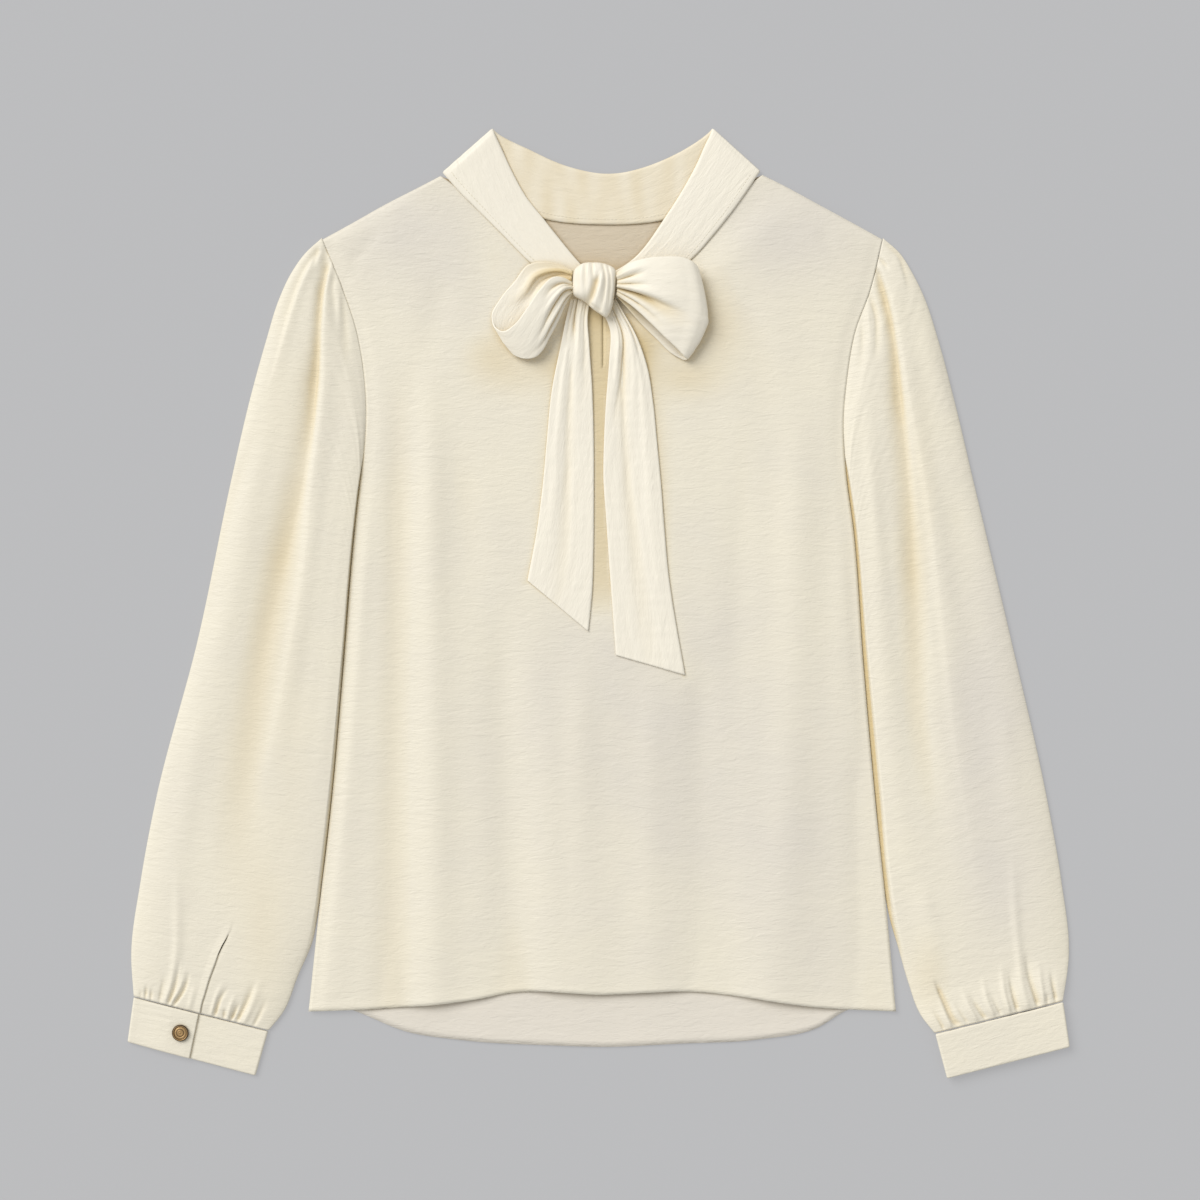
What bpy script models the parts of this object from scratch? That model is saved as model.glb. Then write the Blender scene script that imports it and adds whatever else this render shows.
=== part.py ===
"""A long-sleeved tie neck blouse, laid flat on its back.

The garment lies in the XY plane with its neck towards +Y, its front facing +Z and its back on
z = 0. Left and right are as seen from above. Tables are in millimetres; meshes are in metres.
Every panel is a cloth wall: an upper sheet and a lower sheet over one grid, closed at the edges.
"""

import bpy
import numpy as np

MM = 0.001

# Driving dimensions, in millimetres.
CLOTH = 1.3  # one layer of crepe, with its crinkle
TIE_CLOTH = 1.4  # the band and the tie are doubled
CUFF_CLOTH = 1.5
GAP = 0.3  # between pieces that touch
EDGE_TOP = 2 * CLOTH + GAP  # the two layers lying on each other at a seam
MOST_HOLLOW = 3.8  # air left between the two layers of a panel
MOST_TOP = CLOTH + MOST_HOLLOW + 3.0
FRONT_LOFT = 2.6
CENTRE_X = 2.3  # the centre front line
SLIT_HALF_WIDTH = 0.8
SLEEVE_SLIT_HALF_WIDTH = 0.3
CENTRE = (-1.4, 0.1)  # middle of the laid garment, moved onto the origin
BUTTON_RADIUS = 6.5
BUTTON_HEIGHT = 2.5

# Plan outlines, in order along each edge: (x, y).
SIDES = {
    "left": [
        (-216.1, 283.1), (-200.8, 245.7), (-190.4, 214.5), (-183.8, 176.3), (-182.3, 147.4),
        (-184.9, 111.5), (-190.9, 57.7), (-199.8, -49.9), (-209.3, -157.6), (-219.2, -243.4),
        (-227.0, -318.2),
    ],
    "right": [
        (220.0, 283.1), (209.8, 241.4), (199.1, 212.2), (192.6, 175.1), (189.9, 144.3),
        (191.4, 103.7), (197.3, 57.7), (205.3, -49.9), (214.8, -157.6), (223.6, -243.4),
        (230.5, -318.2),
    ],
}
SHOULDERS = {
    "left": [(-125.8, 327.2), (-138.1, 325.3), (-167.7, 310.1), (-193.4, 295.6), (-216.1, 283.1)],
    "right": [(127.8, 327.6), (142.7, 325.3), (170.8, 310.1), (198.9, 294.8), (220.0, 283.1)],
}
NECKLINES = {
    "left": [
        (-125.8, 327.2), (-104.0, 319.0), (-88.0, 306.0), (-50.5, 270.0), (-27.0, 252.5),
        (CENTRE_X - SLIT_HALF_WIDTH, 233.0),
    ],
    "right": [
        (127.8, 327.6), (106.0, 318.0), (97.0, 307.0), (70.5, 274.5), (43.0, 253.0),
        (CENTRE_X + SLIT_HALF_WIDTH, 233.0),
    ],
}
FRONT_HEMS = {
    "left": [(CENTRE_X, -305.0), (-70.5, -303.8), (-95.2, -308.5), (-172.4, -316.0), (-227.0, -318.2)],
    "right": [(CENTRE_X, -305.0), (78.0, -303.2), (108.3, -306.4), (166.9, -314.7), (230.5, -318.2)],
}
SLIT_FOOT_Y = 182.5
NECK_SHARE, SLIT_SHARE = 0.24, 0.32  # shares of the front's length at the slit's head and foot
BACK_HEM = [
    (-227.0, -318.2), (-193.9, -327.6), (-150.7, -344.6), (-104.5, -351.4), (-30.4, -355.4),
    (0.4, -356.3), (62.1, -353.8), (123.8, -350.5), (170.0, -341.5), (191.6, -328.5),
    (230.5, -318.2),
]
BACK_NECK = [(-117.0, 333.0), (-80.0, 317.0), (-40.0, 303.5), (0.0, 300.0), (47.0, 303.0), (119.0, 333.5)]

SLEEVE_OUTERS = {
    "left": [
        (-217.6, 284.7), (-230.1, 272.2), (-241.0, 256.6), (-250.4, 236.3), (-260.1, 205.1),
        (-273.0, 158.3), (-287.4, 95.9), (-313.6, -28.9), (-346.3, -153.7), (-358.0, -216.1),
        (-365.4, -275.0), (-363.5, -306.3),
    ],
    "right": [
        (221.5, 284.7), (234.0, 272.2), (243.4, 257.4), (251.9, 240.2), (263.6, 205.1),
        (276.1, 158.3), (290.9, 95.9), (320.6, -28.9), (348.7, -153.7), (359.6, -216.1),
        (365.4, -275.0), (360.4, -309.6),
    ],
}
SLEEVE_INNERS = {
    "left": [
        (-185.4, 110.0), (-195.5, 57.7), (-203.0, -49.9), (-211.2, -157.6), (-221.2, -243.4),
        (-234.8, -294.1), (-246.5, -321.0), (-258.4, -332.9),
    ],
    "right": [
        (192.4, 103.0), (201.9, 57.7), (208.5, -49.9), (216.7, -157.6), (225.6, -243.4),
        (236.0, -294.1), (247.3, -321.5), (260.6, -334.5),
    ],
}
SLEEVE_HEADS = {
    "left": [
        (-185.4, 110.0), (-183.7, 147.4), (-185.2, 176.7), (-191.7, 215.0), (-202.1, 246.2),
        (-217.6, 284.7),
    ],
    "right": [
        (192.4, 103.0), (191.3, 144.3), (194.0, 175.5), (200.4, 212.7), (211.1, 241.9),
        (221.5, 284.7),
    ],
}
# Cuff corners: outer and inner ends of the seam, then inner and outer corners of the hem.
CUFFS = {
    "left": [(-363.5, -307.3), (-258.6, -333.8), (-268.5, -368.2), (-368.2, -342.0)],
    "right": [(360.4, -310.6), (260.8, -335.4), (269.9, -369.7), (365.4, -345.2)],
}
CUFF_LIFT = {"left": 0.0, "right": BUTTON_HEIGHT + GAP}  # the right cuff lies on its button
OVERLAP_END = 0.486  # share of the cuff's width, from its outer side

# Neck band and arms: (inner x, y, outer x, y, middle height), from the left arm's end to the
# right's. The inner edge is the top of the stand; the outer edge is the neck seam.
ARM_Z, BACK_BAND_Z = 4.0, 2.25
BAND = [
    (-4.5, 251.5, -4.5, 232.5, 4.05),
    (-24.0, 274.2, -31.2, 247.3, ARM_Z),
    (-45.5, 301.1, -54.6, 265.2, ARM_Z),
    (-58.0, 317.1, -74.1, 284.9, ARM_Z),
    (-68.8, 336.8, -92.0, 302.8, ARM_Z),
    (-77.8, 356.5, -110.0, 320.7, ARM_Z),
    (-82.6, 367.0, -120.5, 332.6, 3.85),
    (-83.5, 369.4, -122.5, 335.0, 3.12),
    (-81.5, 367.3, -119.5, 333.0, 2.4),
    (-54.4, 352.9, -81.9, 312.8, BACK_BAND_Z),
    (-25.8, 340.4, -40.1, 298.4, BACK_BAND_Z),
    (2.0, 334.6, -0.8, 294.8, BACK_BAND_Z),
    (31.5, 338.6, 47.6, 297.8, BACK_BAND_Z),
    (61.9, 351.2, 85.8, 311.2, BACK_BAND_Z),
    (85.5, 367.3, 121.5, 333.4, 2.4),
    (87.5, 369.4, 124.6, 335.9, 3.12),
    (86.7, 367.0, 122.8, 333.2, 3.85),
    (81.7, 356.5, 115.7, 322.5, ARM_Z),
    (74.5, 340.4, 101.4, 302.8, ARM_Z),
    (63.7, 320.7, 87.0, 284.9, ARM_Z),
    (51.2, 301.1, 74.5, 270.7, ARM_Z),
    (29.6, 271.4, 46.8, 248.8, ARM_Z),
    (-2.0, 250.5, -0.5, 232.5, 4.05),
]

# Bow loops: a row for each section of the strip, from the knot out along the front leaf, round
# the far fold and back along the back leaf: (upper x, y, z, middle x, y, z, lower x, y, z).
LOOPS = {
    "left": [
        (-21.9, 248.8, 15.0, -21.8, 244.1, 15.0, -22.4, 239.5, 12.0),
        (-29.1, 251.9, 19.0, -27.8, 242.6, 19.0, -27.5, 230.1, 13.5),
        (-37.4, 251.2, 22.0, -34.3, 234.8, 21.0, -32.8, 217.6, 14.0),
        (-46.8, 241.8, 23.5, -40.6, 223.9, 21.0, -39.0, 205.9, 14.0),
        (-55.4, 229.3, 22.5, -46.8, 212.2, 20.0, -44.5, 195.8, 13.5),
        (-66.3, 215.3, 19.5, -56.9, 202.0, 17.0, -52.3, 189.9, 12.5),
        (-75.7, 210.6, 15.0, -67.9, 198.9, 13.0, -61.6, 190.3, 11.0),
        (-82.3, 215.3, 11.2, -75.2, 203.2, 10.4, -67.8, 194.4, 9.4),
        (-84.2, 223.9, 8.4, -73.3, 212.2, 8.0, -65.5, 202.8, 7.6),
        (-77.2, 237.1, 7.0, -66.3, 224.6, 6.8, -57.7, 212.9, 6.8),
        (-66.3, 250.4, 6.4, -54.6, 236.3, 6.2, -46.8, 225.4, 6.4),
        (-55.4, 263.2, 7.0, -45.2, 249.6, 6.6, -38.2, 236.3, 7.0),
        (-42.9, 265.2, 8.0, -35.1, 254.3, 8.0, -30.4, 242.6, 8.4),
        (-30.4, 262.9, 9.4, -26.9, 255.1, 9.4, -25.4, 245.7, 9.4),
        (-21.3, 258.0, 11.0, -21.8, 253.7, 10.5, -22.3, 247.5, 10.0),
    ],
    "right": [
        (12.7, 255.8, 15.0, 13.5, 247.3, 16.5, 12.9, 238.7, 13.5),
        (22.6, 262.9, 18.0, 25.0, 246.5, 19.5, 25.7, 229.3, 15.0),
        (36.7, 266.8, 20.0, 39.0, 244.1, 22.0, 39.0, 216.8, 16.5),
        (50.7, 267.9, 20.5, 53.0, 239.5, 23.0, 49.9, 205.9, 17.0),
        (63.2, 267.5, 19.5, 67.1, 234.0, 22.0, 59.3, 197.3, 16.0),
        (71.0, 264.8, 17.5, 77.2, 227.8, 19.5, 66.3, 192.7, 14.5),
        (75.3, 260.5, 14.0, 83.3, 220.0, 14.8, 69.4, 191.1, 11.6),
        (72.5, 258.2, 10.4, 78.8, 219.2, 9.8, 65.5, 188.8, 8.6),
        (62.4, 261.3, 8.2, 65.5, 222.3, 7.3, 55.4, 194.2, 7.1),
        (48.4, 261.3, 7.6, 49.9, 230.1, 6.6, 43.7, 205.5, 6.8),
        (35.1, 261.3, 7.6, 36.7, 237.9, 6.8, 32.0, 216.8, 7.2),
        (23.4, 257.2, 9.0, 24.2, 242.6, 8.8, 21.8, 228.3, 9.2),
        (13.2, 252.7, 11.0, 13.6, 244.9, 10.5, 13.4, 237.3, 10.2),
    ],
}
# Tails: (left x, y, right x, y, height of the root above the front), from the knot down.
TAILS = {
    "left": [
        (-25.0, 236.2, -5.2, 236.1, 2.6), (-28.2, 224.6, -8.4, 223.9, 2.6),
        (-32.8, 201.2, -8.3, 201.2, 1.6), (-37.4, 166.1, -6.0, 166.9, 0.5),
        (-41.7, 123.2, -4.8, 124.8, 0.0), (-44.1, 96.7, -4.7, 94.4, 0.0),
        (-49.1, 56.9, -5.0, 45.2, 0.0), (-53.4, 33.5, -5.9, 10.1, 0.0),
        (-56.5, 17.5, -9.0, -22.3, 0.0),
    ],
    "right": [
        (-2.8, 235.7, 12.5, 236.2, 2.6), (3.7, 223.1, 18.7, 225.4, 2.6),
        (7.6, 212.9, 26.5, 211.4, 2.0), (6.9, 186.4, 36.4, 184.9, 1.0),
        (4.6, 156.8, 41.3, 156.8, 0.2), (3.0, 124.8, 44.5, 124.8, 0.0),
        (2.6, 96.7, 47.6, 92.0, 0.0), (4.6, 67.1, 50.3, 56.9, 0.0),
        (6.6, 37.4, 53.0, 25.7, 0.0), (9.5, -2.3, 57.7, -7.0, 0.0),
        (12.3, -40.6, 66.3, -56.2, 0.0),
    ],
}
KNOT_OUTLINE = [
    (-12.5, 263.6), (-19.0, 259.3), (-21.2, 248.8), (-20.8, 239.5), (-11.2, 233.2), (-5.5, 227.8),
    (-0.8, 224.6), (4.7, 221.5), (8.6, 227.0), (10.9, 237.9), (12.1, 247.3), (11.4, 259.0),
    (4.3, 262.9), (-6.2, 264.0),
]
# Knot levels: (height, share of the outline's size).
KNOT_LEVELS = [(8.0, 0.7), (9.4, 0.92), (12.0, 1.0), (15.5, 0.97), (18.6, 0.84), (20.6, 0.58), (21.4, 0.25)]

# Soft folds: (path of (x, y) points, half width, height; a trough is negative, strength at its
# start and at its end).
FRONT_FOLDS = [
    (((-132.6, 170.0), (-129.5, -75.7), (-127.1, -309.7)), 13.0, 2.0, 0.1, 1.0),
    (((-155.2, 170.0), (-159.1, -75.7), (-161.5, -309.7)), 11.0, -1.7, 0.1, 1.0),
    (((-75.7, -20.0), (-71.8, -153.7), (-67.1, -309.7)), 15.0, -2.1, 0.0, 1.0),
    (((-14.8, -28.9), (-14.8, -309.7)), 14.0, 1.4, 0.0, 1.0),
    (((39.0, -28.9), (37.4, -309.7)), 11.0, 1.1, 0.0, 0.8),
    (((80.0, -30.0), (80.3, -309.7)), 17.0, -1.9, 0.0, 1.0),
    (((112.3, 150.0), (105.3, -75.7), (99.8, -309.7)), 12.0, -1.0, 0.0, 0.8),
    (((153.7, 145.0), (149.8, -106.9), (138.1, -309.7)), 17.0, 2.0, 0.1, 1.0),
    (((-183.3, 56.9), (-196.6, -122.5), (-209.8, -291.7)), 10.0, 1.3, 0.2, 0.9),
    (((201.2, -120.0), (207.5, -309.7)), 14.0, -1.4, 0.0, 1.0),
]
SLEEVE_FOLDS = {
    "left": [
        (((-215.3, 266.0), (-229.3, 153.7), (-251.2, 32.0), (-280.8, -137.3), (-294.8, -262.9)),
         7.0, -2.4, 0.6, 1.0),
        (((-208.0, 240.0), (-215.3, 153.7), (-229.0, 32.0), (-261.3, -137.3), (-275.3, -244.1)),
         10.0, 1.7, 0.4, 0.8),
        (((-246.0, 220.0), (-262.0, 110.0), (-290.0, -20.0), (-316.0, -150.0)), 14.0, 1.2, 0.2, 0.1),
        (((-240.2, 212.9), (-246.5, 173.9)), 6.0, -1.4, 0.3, 0.0),
        (((-329.2, -200.6), (-329.2, -301.9)), 6.0, 1.2, 0.1, 1.0),
    ],
    "right": [
        (((216.1, 252.7), (234.8, 138.8), (242.6, 7.8), (259.0, -152.1), (271.4, -234.8)),
         7.0, -2.4, 0.5, 0.4),
        (((237.9, 197.3), (262.1, 32.0), (278.5, -113.1), (295.6, -259.0)), 11.0, 1.6, 0.3, 0.8),
        (((208.3, 177.8), (212.9, 80.3), (230.1, -137.3), (237.1, -210.6)), 9.0, 1.3, 0.4, 0.4),
        (((280.0, 80.0), (300.0, -30.0), (318.0, -140.0)), 12.0, -1.0, 0.1, 0.2),
        (((322.1, -186.4), (327.6, -307.3)), 7.0, 1.2, 0.1, 1.0),
    ],
}
# Loft of a sleeve along its length: (share of the length, height of the middle).
PUFF = [(0.0, EDGE_TOP), (0.02, 4.6), (0.06, 6.2), (0.5, 6.6), (0.85, 6.4), (0.95, 5.4), (1.0, 3.4)]
HEAD_GATHERS, CUFF_GATHERS = 7.0, 8.0
GATHER_DEPTH = 1.5

# Grid sizes.
FRONT_ACROSS, FRONT_ALONG = 17, 22
SLEEVE_TOP, SLEEVE_UNDER, SLEEVE_ALONG = 28, 7, 19
# Each sleeve's slit above the cuff runs down one column of its grid: the left's on top, the
# right's underneath.
SLIT_COLUMN = {"left": 13, "right": SLEEVE_TOP + 1 + SLEEVE_UNDER // 2}
SLIT_ROWS = 4
LOOP_ALONG, TAIL_ALONG, STRIP_ACROSS = 30, 18, 5
CUFF_ALONG = 3
KNOT_ROUND = 28
BUTTON_ROUND = 28


def smoothstep(share):
    """Ease from 0 to 1."""
    share = np.clip(share, 0.0, 1.0)
    return share * share * (3.0 - 2.0 * share)


def curve_through(rows, closed=False):
    """Return a function of 0..1 that follows a smooth curve through the rows at even speed."""
    knots = np.array(rows, dtype=float)
    if closed:
        knots = np.concatenate([knots[-2:], knots, knots[:3]])
    at = np.concatenate([[0.0], np.cumsum(np.linalg.norm(np.diff(knots, axis=0), axis=1))])
    slope = np.gradient(knots, at, axis=0)
    place = np.linspace(at[0], at[-1], 16 * len(knots))
    if closed:
        place = np.linspace(at[2], at[-3], 16 * len(knots))
    span = np.clip(np.searchsorted(at, place, side="right") - 1, 0, len(at) - 2)
    width = (at[span + 1] - at[span])[:, None]
    t = (place - at[span])[:, None] / width
    fine = (
        (2 * t**3 - 3 * t**2 + 1) * knots[span]
        + (t**3 - 2 * t**2 + t) * width * slope[span]
        + (3 * t**2 - 2 * t**3) * knots[span + 1]
        + (t**3 - t**2) * width * slope[span + 1]
    )
    run = np.concatenate([[0.0], np.cumsum(np.linalg.norm(np.diff(fine, axis=0), axis=1))])

    def follow(share):
        wanted = np.asarray(share, dtype=float) * run[-1]
        return np.stack([np.interp(wanted, run, fine[:, k]) for k in range(fine.shape[1])], axis=-1)

    return follow


def patch(head, foot, inner, outer):
    """Return the surface blended between four edges, as a function of (across, along)."""

    def point(across, along):
        a, b = across[..., None], along[..., None]
        sides = (1 - a) * inner(along) + a * outer(along)
        ends = (1 - b) * head(across) + b * foot(across)
        corners = (1 - b) * ((1 - a) * head(0.0) + a * head(1.0))
        corners = corners + b * ((1 - a) * foot(0.0) + a * foot(1.0))
        return sides + ends - corners

    return point


def relief(x, y, folds):
    """Height at (x, y) of the soft ridges and troughs that run along the folds' paths."""
    height = np.zeros(np.shape(x))
    for path, half_width, depth, start, end in folds:
        points = np.array(path, dtype=float)
        steps = np.linalg.norm(np.diff(points, axis=0), axis=1)
        before = np.concatenate([[0.0], np.cumsum(steps)])
        nearest = np.full(np.shape(x), np.inf)
        share = np.zeros(np.shape(x))
        for k, step in enumerate(steps):
            along = (points[k + 1] - points[k]) / step
            t = np.clip((x - points[k, 0]) * along[0] + (y - points[k, 1]) * along[1], 0.0, step)
            away = np.hypot(x - points[k, 0] - t * along[0], y - points[k, 1] - t * along[1])
            closer = away < nearest
            nearest = np.where(closer, away, nearest)
            share = np.where(closer, (before[k] + t) / before[-1], share)
        strength = np.interp(share, [0.0, 0.2, 0.75, 1.0], [start, 1.0, 1.0, end])
        height += depth * strength * np.exp(-((nearest / half_width) ** 2))
    return height


def grid_faces(rows, columns, wrap=False):
    """Quads of a grid whose points run row by row; wrap joins the last column to the first."""
    corner = np.arange(rows * columns).reshape(rows, columns)
    right = np.roll(corner, -1, axis=1) if wrap else corner[:, 1:]
    left = corner if wrap else corner[:, :-1]
    return np.stack([left[:-1], right[:-1], right[1:], left[1:]], axis=-1).reshape(-1, 4)


def cut_down(grids, column, rows, half_width):
    """Open a slit down one column of a wrapped grid, over its last rows; returns points and faces."""
    count, around = grids[0].shape[:2]
    faces = grid_faces(count, around, wrap=True)
    first = count - rows
    old = np.arange(first, count) * around + column
    new = count * around + np.arange(rows)
    ahead = grids[0][first:, column + 1, :2] - grids[0][first:, column - 1, :2]
    step = np.zeros((rows, 3))
    step[:, :2] = half_width * ahead / np.linalg.norm(ahead, axis=1, keepdims=True)
    beyond = faces[:, 0] % around == column
    renamed = dict(zip(old.tolist(), new.tolist()))
    faces[beyond] = [[renamed.get(point, point) for point in face] for face in faces[beyond].tolist()]
    sheets = []
    for grid in grids:
        points = grid.reshape(-1, 3).copy()
        twins = points[old] + step
        points[old] -= step
        sheets.append(np.concatenate([points, twins]))
    return sheets, faces


def make_wall(name, upper, lower, faces, finish):
    """Make an object of two sheets with the same faces, closed along their open edges."""
    upper, lower = upper.reshape(-1, 3), lower.reshape(-1, 3)
    keys = np.round(np.concatenate([upper, lower], axis=1), 4)
    _, first, index = np.unique(keys, axis=0, return_index=True, return_inverse=True)
    upper, lower, faces = upper[first], lower[first], index.reshape(-1)[faces]
    edges = np.concatenate([np.stack([faces[:, k], faces[:, (k + 1) % 4]], axis=1) for k in range(4)])
    there = set(map(tuple, edges.tolist()))
    rim = np.array([edge for edge in edges.tolist() if (edge[1], edge[0]) not in there])
    count = len(upper)
    points = np.concatenate([upper, lower])
    sides = np.stack([rim[:, 1], rim[:, 0], rim[:, 0] + count, rim[:, 1] + count], axis=1)
    quads = np.concatenate([faces, faces[:, ::-1] + count, sides])
    corners = points[quads]
    volume = 0.0
    for second, third in ((1, 2), (2, 3)):
        normal = np.cross(corners[:, second], corners[:, third])
        volume += np.einsum("ij,ij->", corners[:, 0], normal)
    if volume < 0:
        quads = quads[:, ::-1]
    return make_object(name, points, quads.tolist(), finish)


def make_object(name, points, faces, finish):
    """Make a smooth-shaded object from points in millimetres."""
    mesh = bpy.data.meshes.new(name)
    moved = (points - np.array([CENTRE[0], CENTRE[1], 0.0])) * MM
    mesh.from_pydata(moved.tolist(), [], faces)
    mesh.update()
    mesh.shade_smooth()
    mesh.set_sharp_from_angle(angle=np.radians(50.0))
    mesh.materials.append(finish)
    made = bpy.data.objects.new(name, mesh)
    bpy.context.scene.collection.objects.link(made)
    return made


def make_finish(name, colour, roughness, metallic=0.0):
    """Make a material of one colour."""
    finish = bpy.data.materials.new(name)
    finish.use_nodes = True
    shader = finish.node_tree.nodes["Principled BSDF"]
    shader.inputs["Base Color"].default_value = (*colour, 1.0)
    shader.inputs["Roughness"].default_value = roughness
    shader.inputs["Metallic"].default_value = metallic
    return finish


def side_x(side, y):
    """The body's edge at height y on one side, shoulder line included."""
    rows = SHOULDERS[side][:-1] + SIDES[side]
    table = np.array(rows)[::-1]
    return np.interp(y, table[:, 1], table[:, 0])


def below_neck(x, y):
    """Distance down and outwards from the front neckline."""
    away = {}
    for side, sign in (("left", -1.0), ("right", 1.0)):
        head, foot = np.array(NECKLINES[side][0]), np.array(NECKLINES[side][-1])
        along = (foot - head) / np.linalg.norm(foot - head)
        away[side] = sign * ((y - head[1]) * along[0] - (x - head[0]) * along[1])
    return np.maximum(np.where(x < CENTRE_X, away["left"], away["right"]), 0.0)


def front_top(x, y):
    """Height of the front's outer face at (x, y)."""
    left, right = side_x("left", y), side_x("right", y)
    share = np.clip((x - left) / (right - left), 0.0, 1.0)
    edge = smoothstep(np.minimum(x - left, right - x) / 14.0)
    round_top = np.sqrt(np.clip(4.0 * share * (1.0 - share), 0.0, 1.0))
    calm = smoothstep((below_neck(x, y) - 9.0) / 30.0) * edge
    hem = 1.0 - 0.45 * smoothstep((-240.0 - y) / 70.0)
    height = EDGE_TOP + calm * (FRONT_LOFT * round_top * hem + relief(x, y, FRONT_FOLDS))
    return np.clip(height, EDGE_TOP, MOST_TOP)


def under_of(top, floor=0.0):
    """Height of a panel's inner face: a wall below its outer face, and never far off the back."""
    return np.clip(top - CLOTH, floor + CLOTH + GAP, floor + CLOTH + MOST_HOLLOW)


def front_half(side):
    """One half of the front, as rows of (x, y) from the neck to the hem."""
    neckline = curve_through(NECKLINES[side])
    hem = curve_through(FRONT_HEMS[side])
    lip = NECKLINES[side][-1][0]

    def inner(along):
        along = np.asarray(along, dtype=float)
        neck = neckline(np.clip(along / NECK_SHARE, 0.0, 1.0))
        down = np.clip((along - NECK_SHARE) / (SLIT_SHARE - NECK_SHARE), 0.0, 1.0)[..., None]
        slit = (1 - down) * neckline(1.0) + down * np.array([CENTRE_X, SLIT_FOOT_Y])
        slit[..., 0] = np.where(down[..., 0] < 0.99, lip, CENTRE_X)
        rest = np.clip((along - SLIT_SHARE) / (1.0 - SLIT_SHARE), 0.0, 1.0)[..., None]
        centre = (1 - rest) * np.array([CENTRE_X, SLIT_FOOT_Y]) + rest * hem(0.0)
        below = along[..., None]
        return np.where(below <= NECK_SHARE, neck, np.where(below <= SLIT_SHARE, slit, centre))

    surface = patch(curve_through(SHOULDERS[side]), hem, inner, curve_through(SIDES[side]))
    along = np.concatenate([
        np.linspace(0.0, NECK_SHARE, 7)[:-1],
        np.linspace(NECK_SHARE, SLIT_SHARE, 4)[:-1],
        np.linspace(SLIT_SHARE, 1.0, FRONT_ALONG - 8),
    ])
    across = np.linspace(0.0, 1.0, FRONT_ACROSS)
    return surface(*np.meshgrid(across, along))


def make_front(finish):
    """The front: two halves over the back, joined down the centre below the neck slit."""
    upper, lower, faces, count = [], [], [], 0
    for side in ("left", "right"):
        plan = front_half(side)
        rows, columns = plan.shape[:2]
        top = front_top(plan[..., 0], plan[..., 1])
        upper.append(np.dstack([plan, top]).reshape(-1, 3))
        lower.append(np.dstack([plan, under_of(top)]).reshape(-1, 3))
        quads = grid_faces(rows, columns) + count
        faces.append(quads if side == "left" else quads[:, ::-1])
        count += rows * columns
    return make_wall("front", np.concatenate(upper), np.concatenate(lower), np.concatenate(faces), finish)


def make_back(finish):
    """The back: a flat wall on the floor, longer than the front at its rounded hem."""
    share = np.linspace(0.0, 1.0, 24)
    edges = [
        curve_through(BACK_NECK)(np.linspace(0.0, 1.0, 12)),
        curve_through(SHOULDERS["right"])(np.linspace(0.03, 1.0, 8)),
        curve_through(SIDES["right"])(share)[1:],
        curve_through(BACK_HEM[::-1])(np.linspace(0.0, 1.0, 26))[1:],
        curve_through(SIDES["left"][::-1])(share)[1:],
        curve_through(SHOULDERS["left"][::-1])(np.linspace(0.0, 0.97, 8))[1:],
    ]
    outline = np.concatenate(edges)
    count = len(outline)
    rim = np.arange(count)
    after = np.roll(rim, -1)
    points = np.concatenate([
        np.column_stack([outline, np.zeros(count)]),
        np.column_stack([outline, np.full(count, CLOTH)]),
    ])
    clockwise = np.sum(outline[:, 0] * np.roll(outline[:, 1], -1) - np.roll(outline[:, 0], -1) * outline[:, 1]) < 0
    sides = np.stack([rim, after, after + count, rim + count], axis=1).tolist()
    faces = [rim[::-1].tolist(), (rim + count).tolist(), *sides]
    if clockwise:
        faces = [face[::-1] for face in faces]
    return make_object("back", points, faces, finish)


def gathers(across, along):
    """Height of the small pleats that fan out from a sleeve's head and from its cuff."""
    head = np.cos(2 * np.pi * HEAD_GATHERS * (across + 0.05 * np.sin(5.0 * across)))
    foot = np.cos(2 * np.pi * CUFF_GATHERS * (across + 0.04 * np.sin(4.0 * across + 1.0)))
    rise_head = np.interp(along, [0.0, 0.015, 0.05, 0.12], [0.0, 0.8, 0.7, 0.0])
    rise_foot = np.interp(along, [0.82, 0.93, 0.98, 1.0], [0.0, 0.7, 1.0, 0.0])
    return GATHER_DEPTH * (0.6 * rise_head * head * (across > 0.35) + rise_foot * foot)


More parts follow.
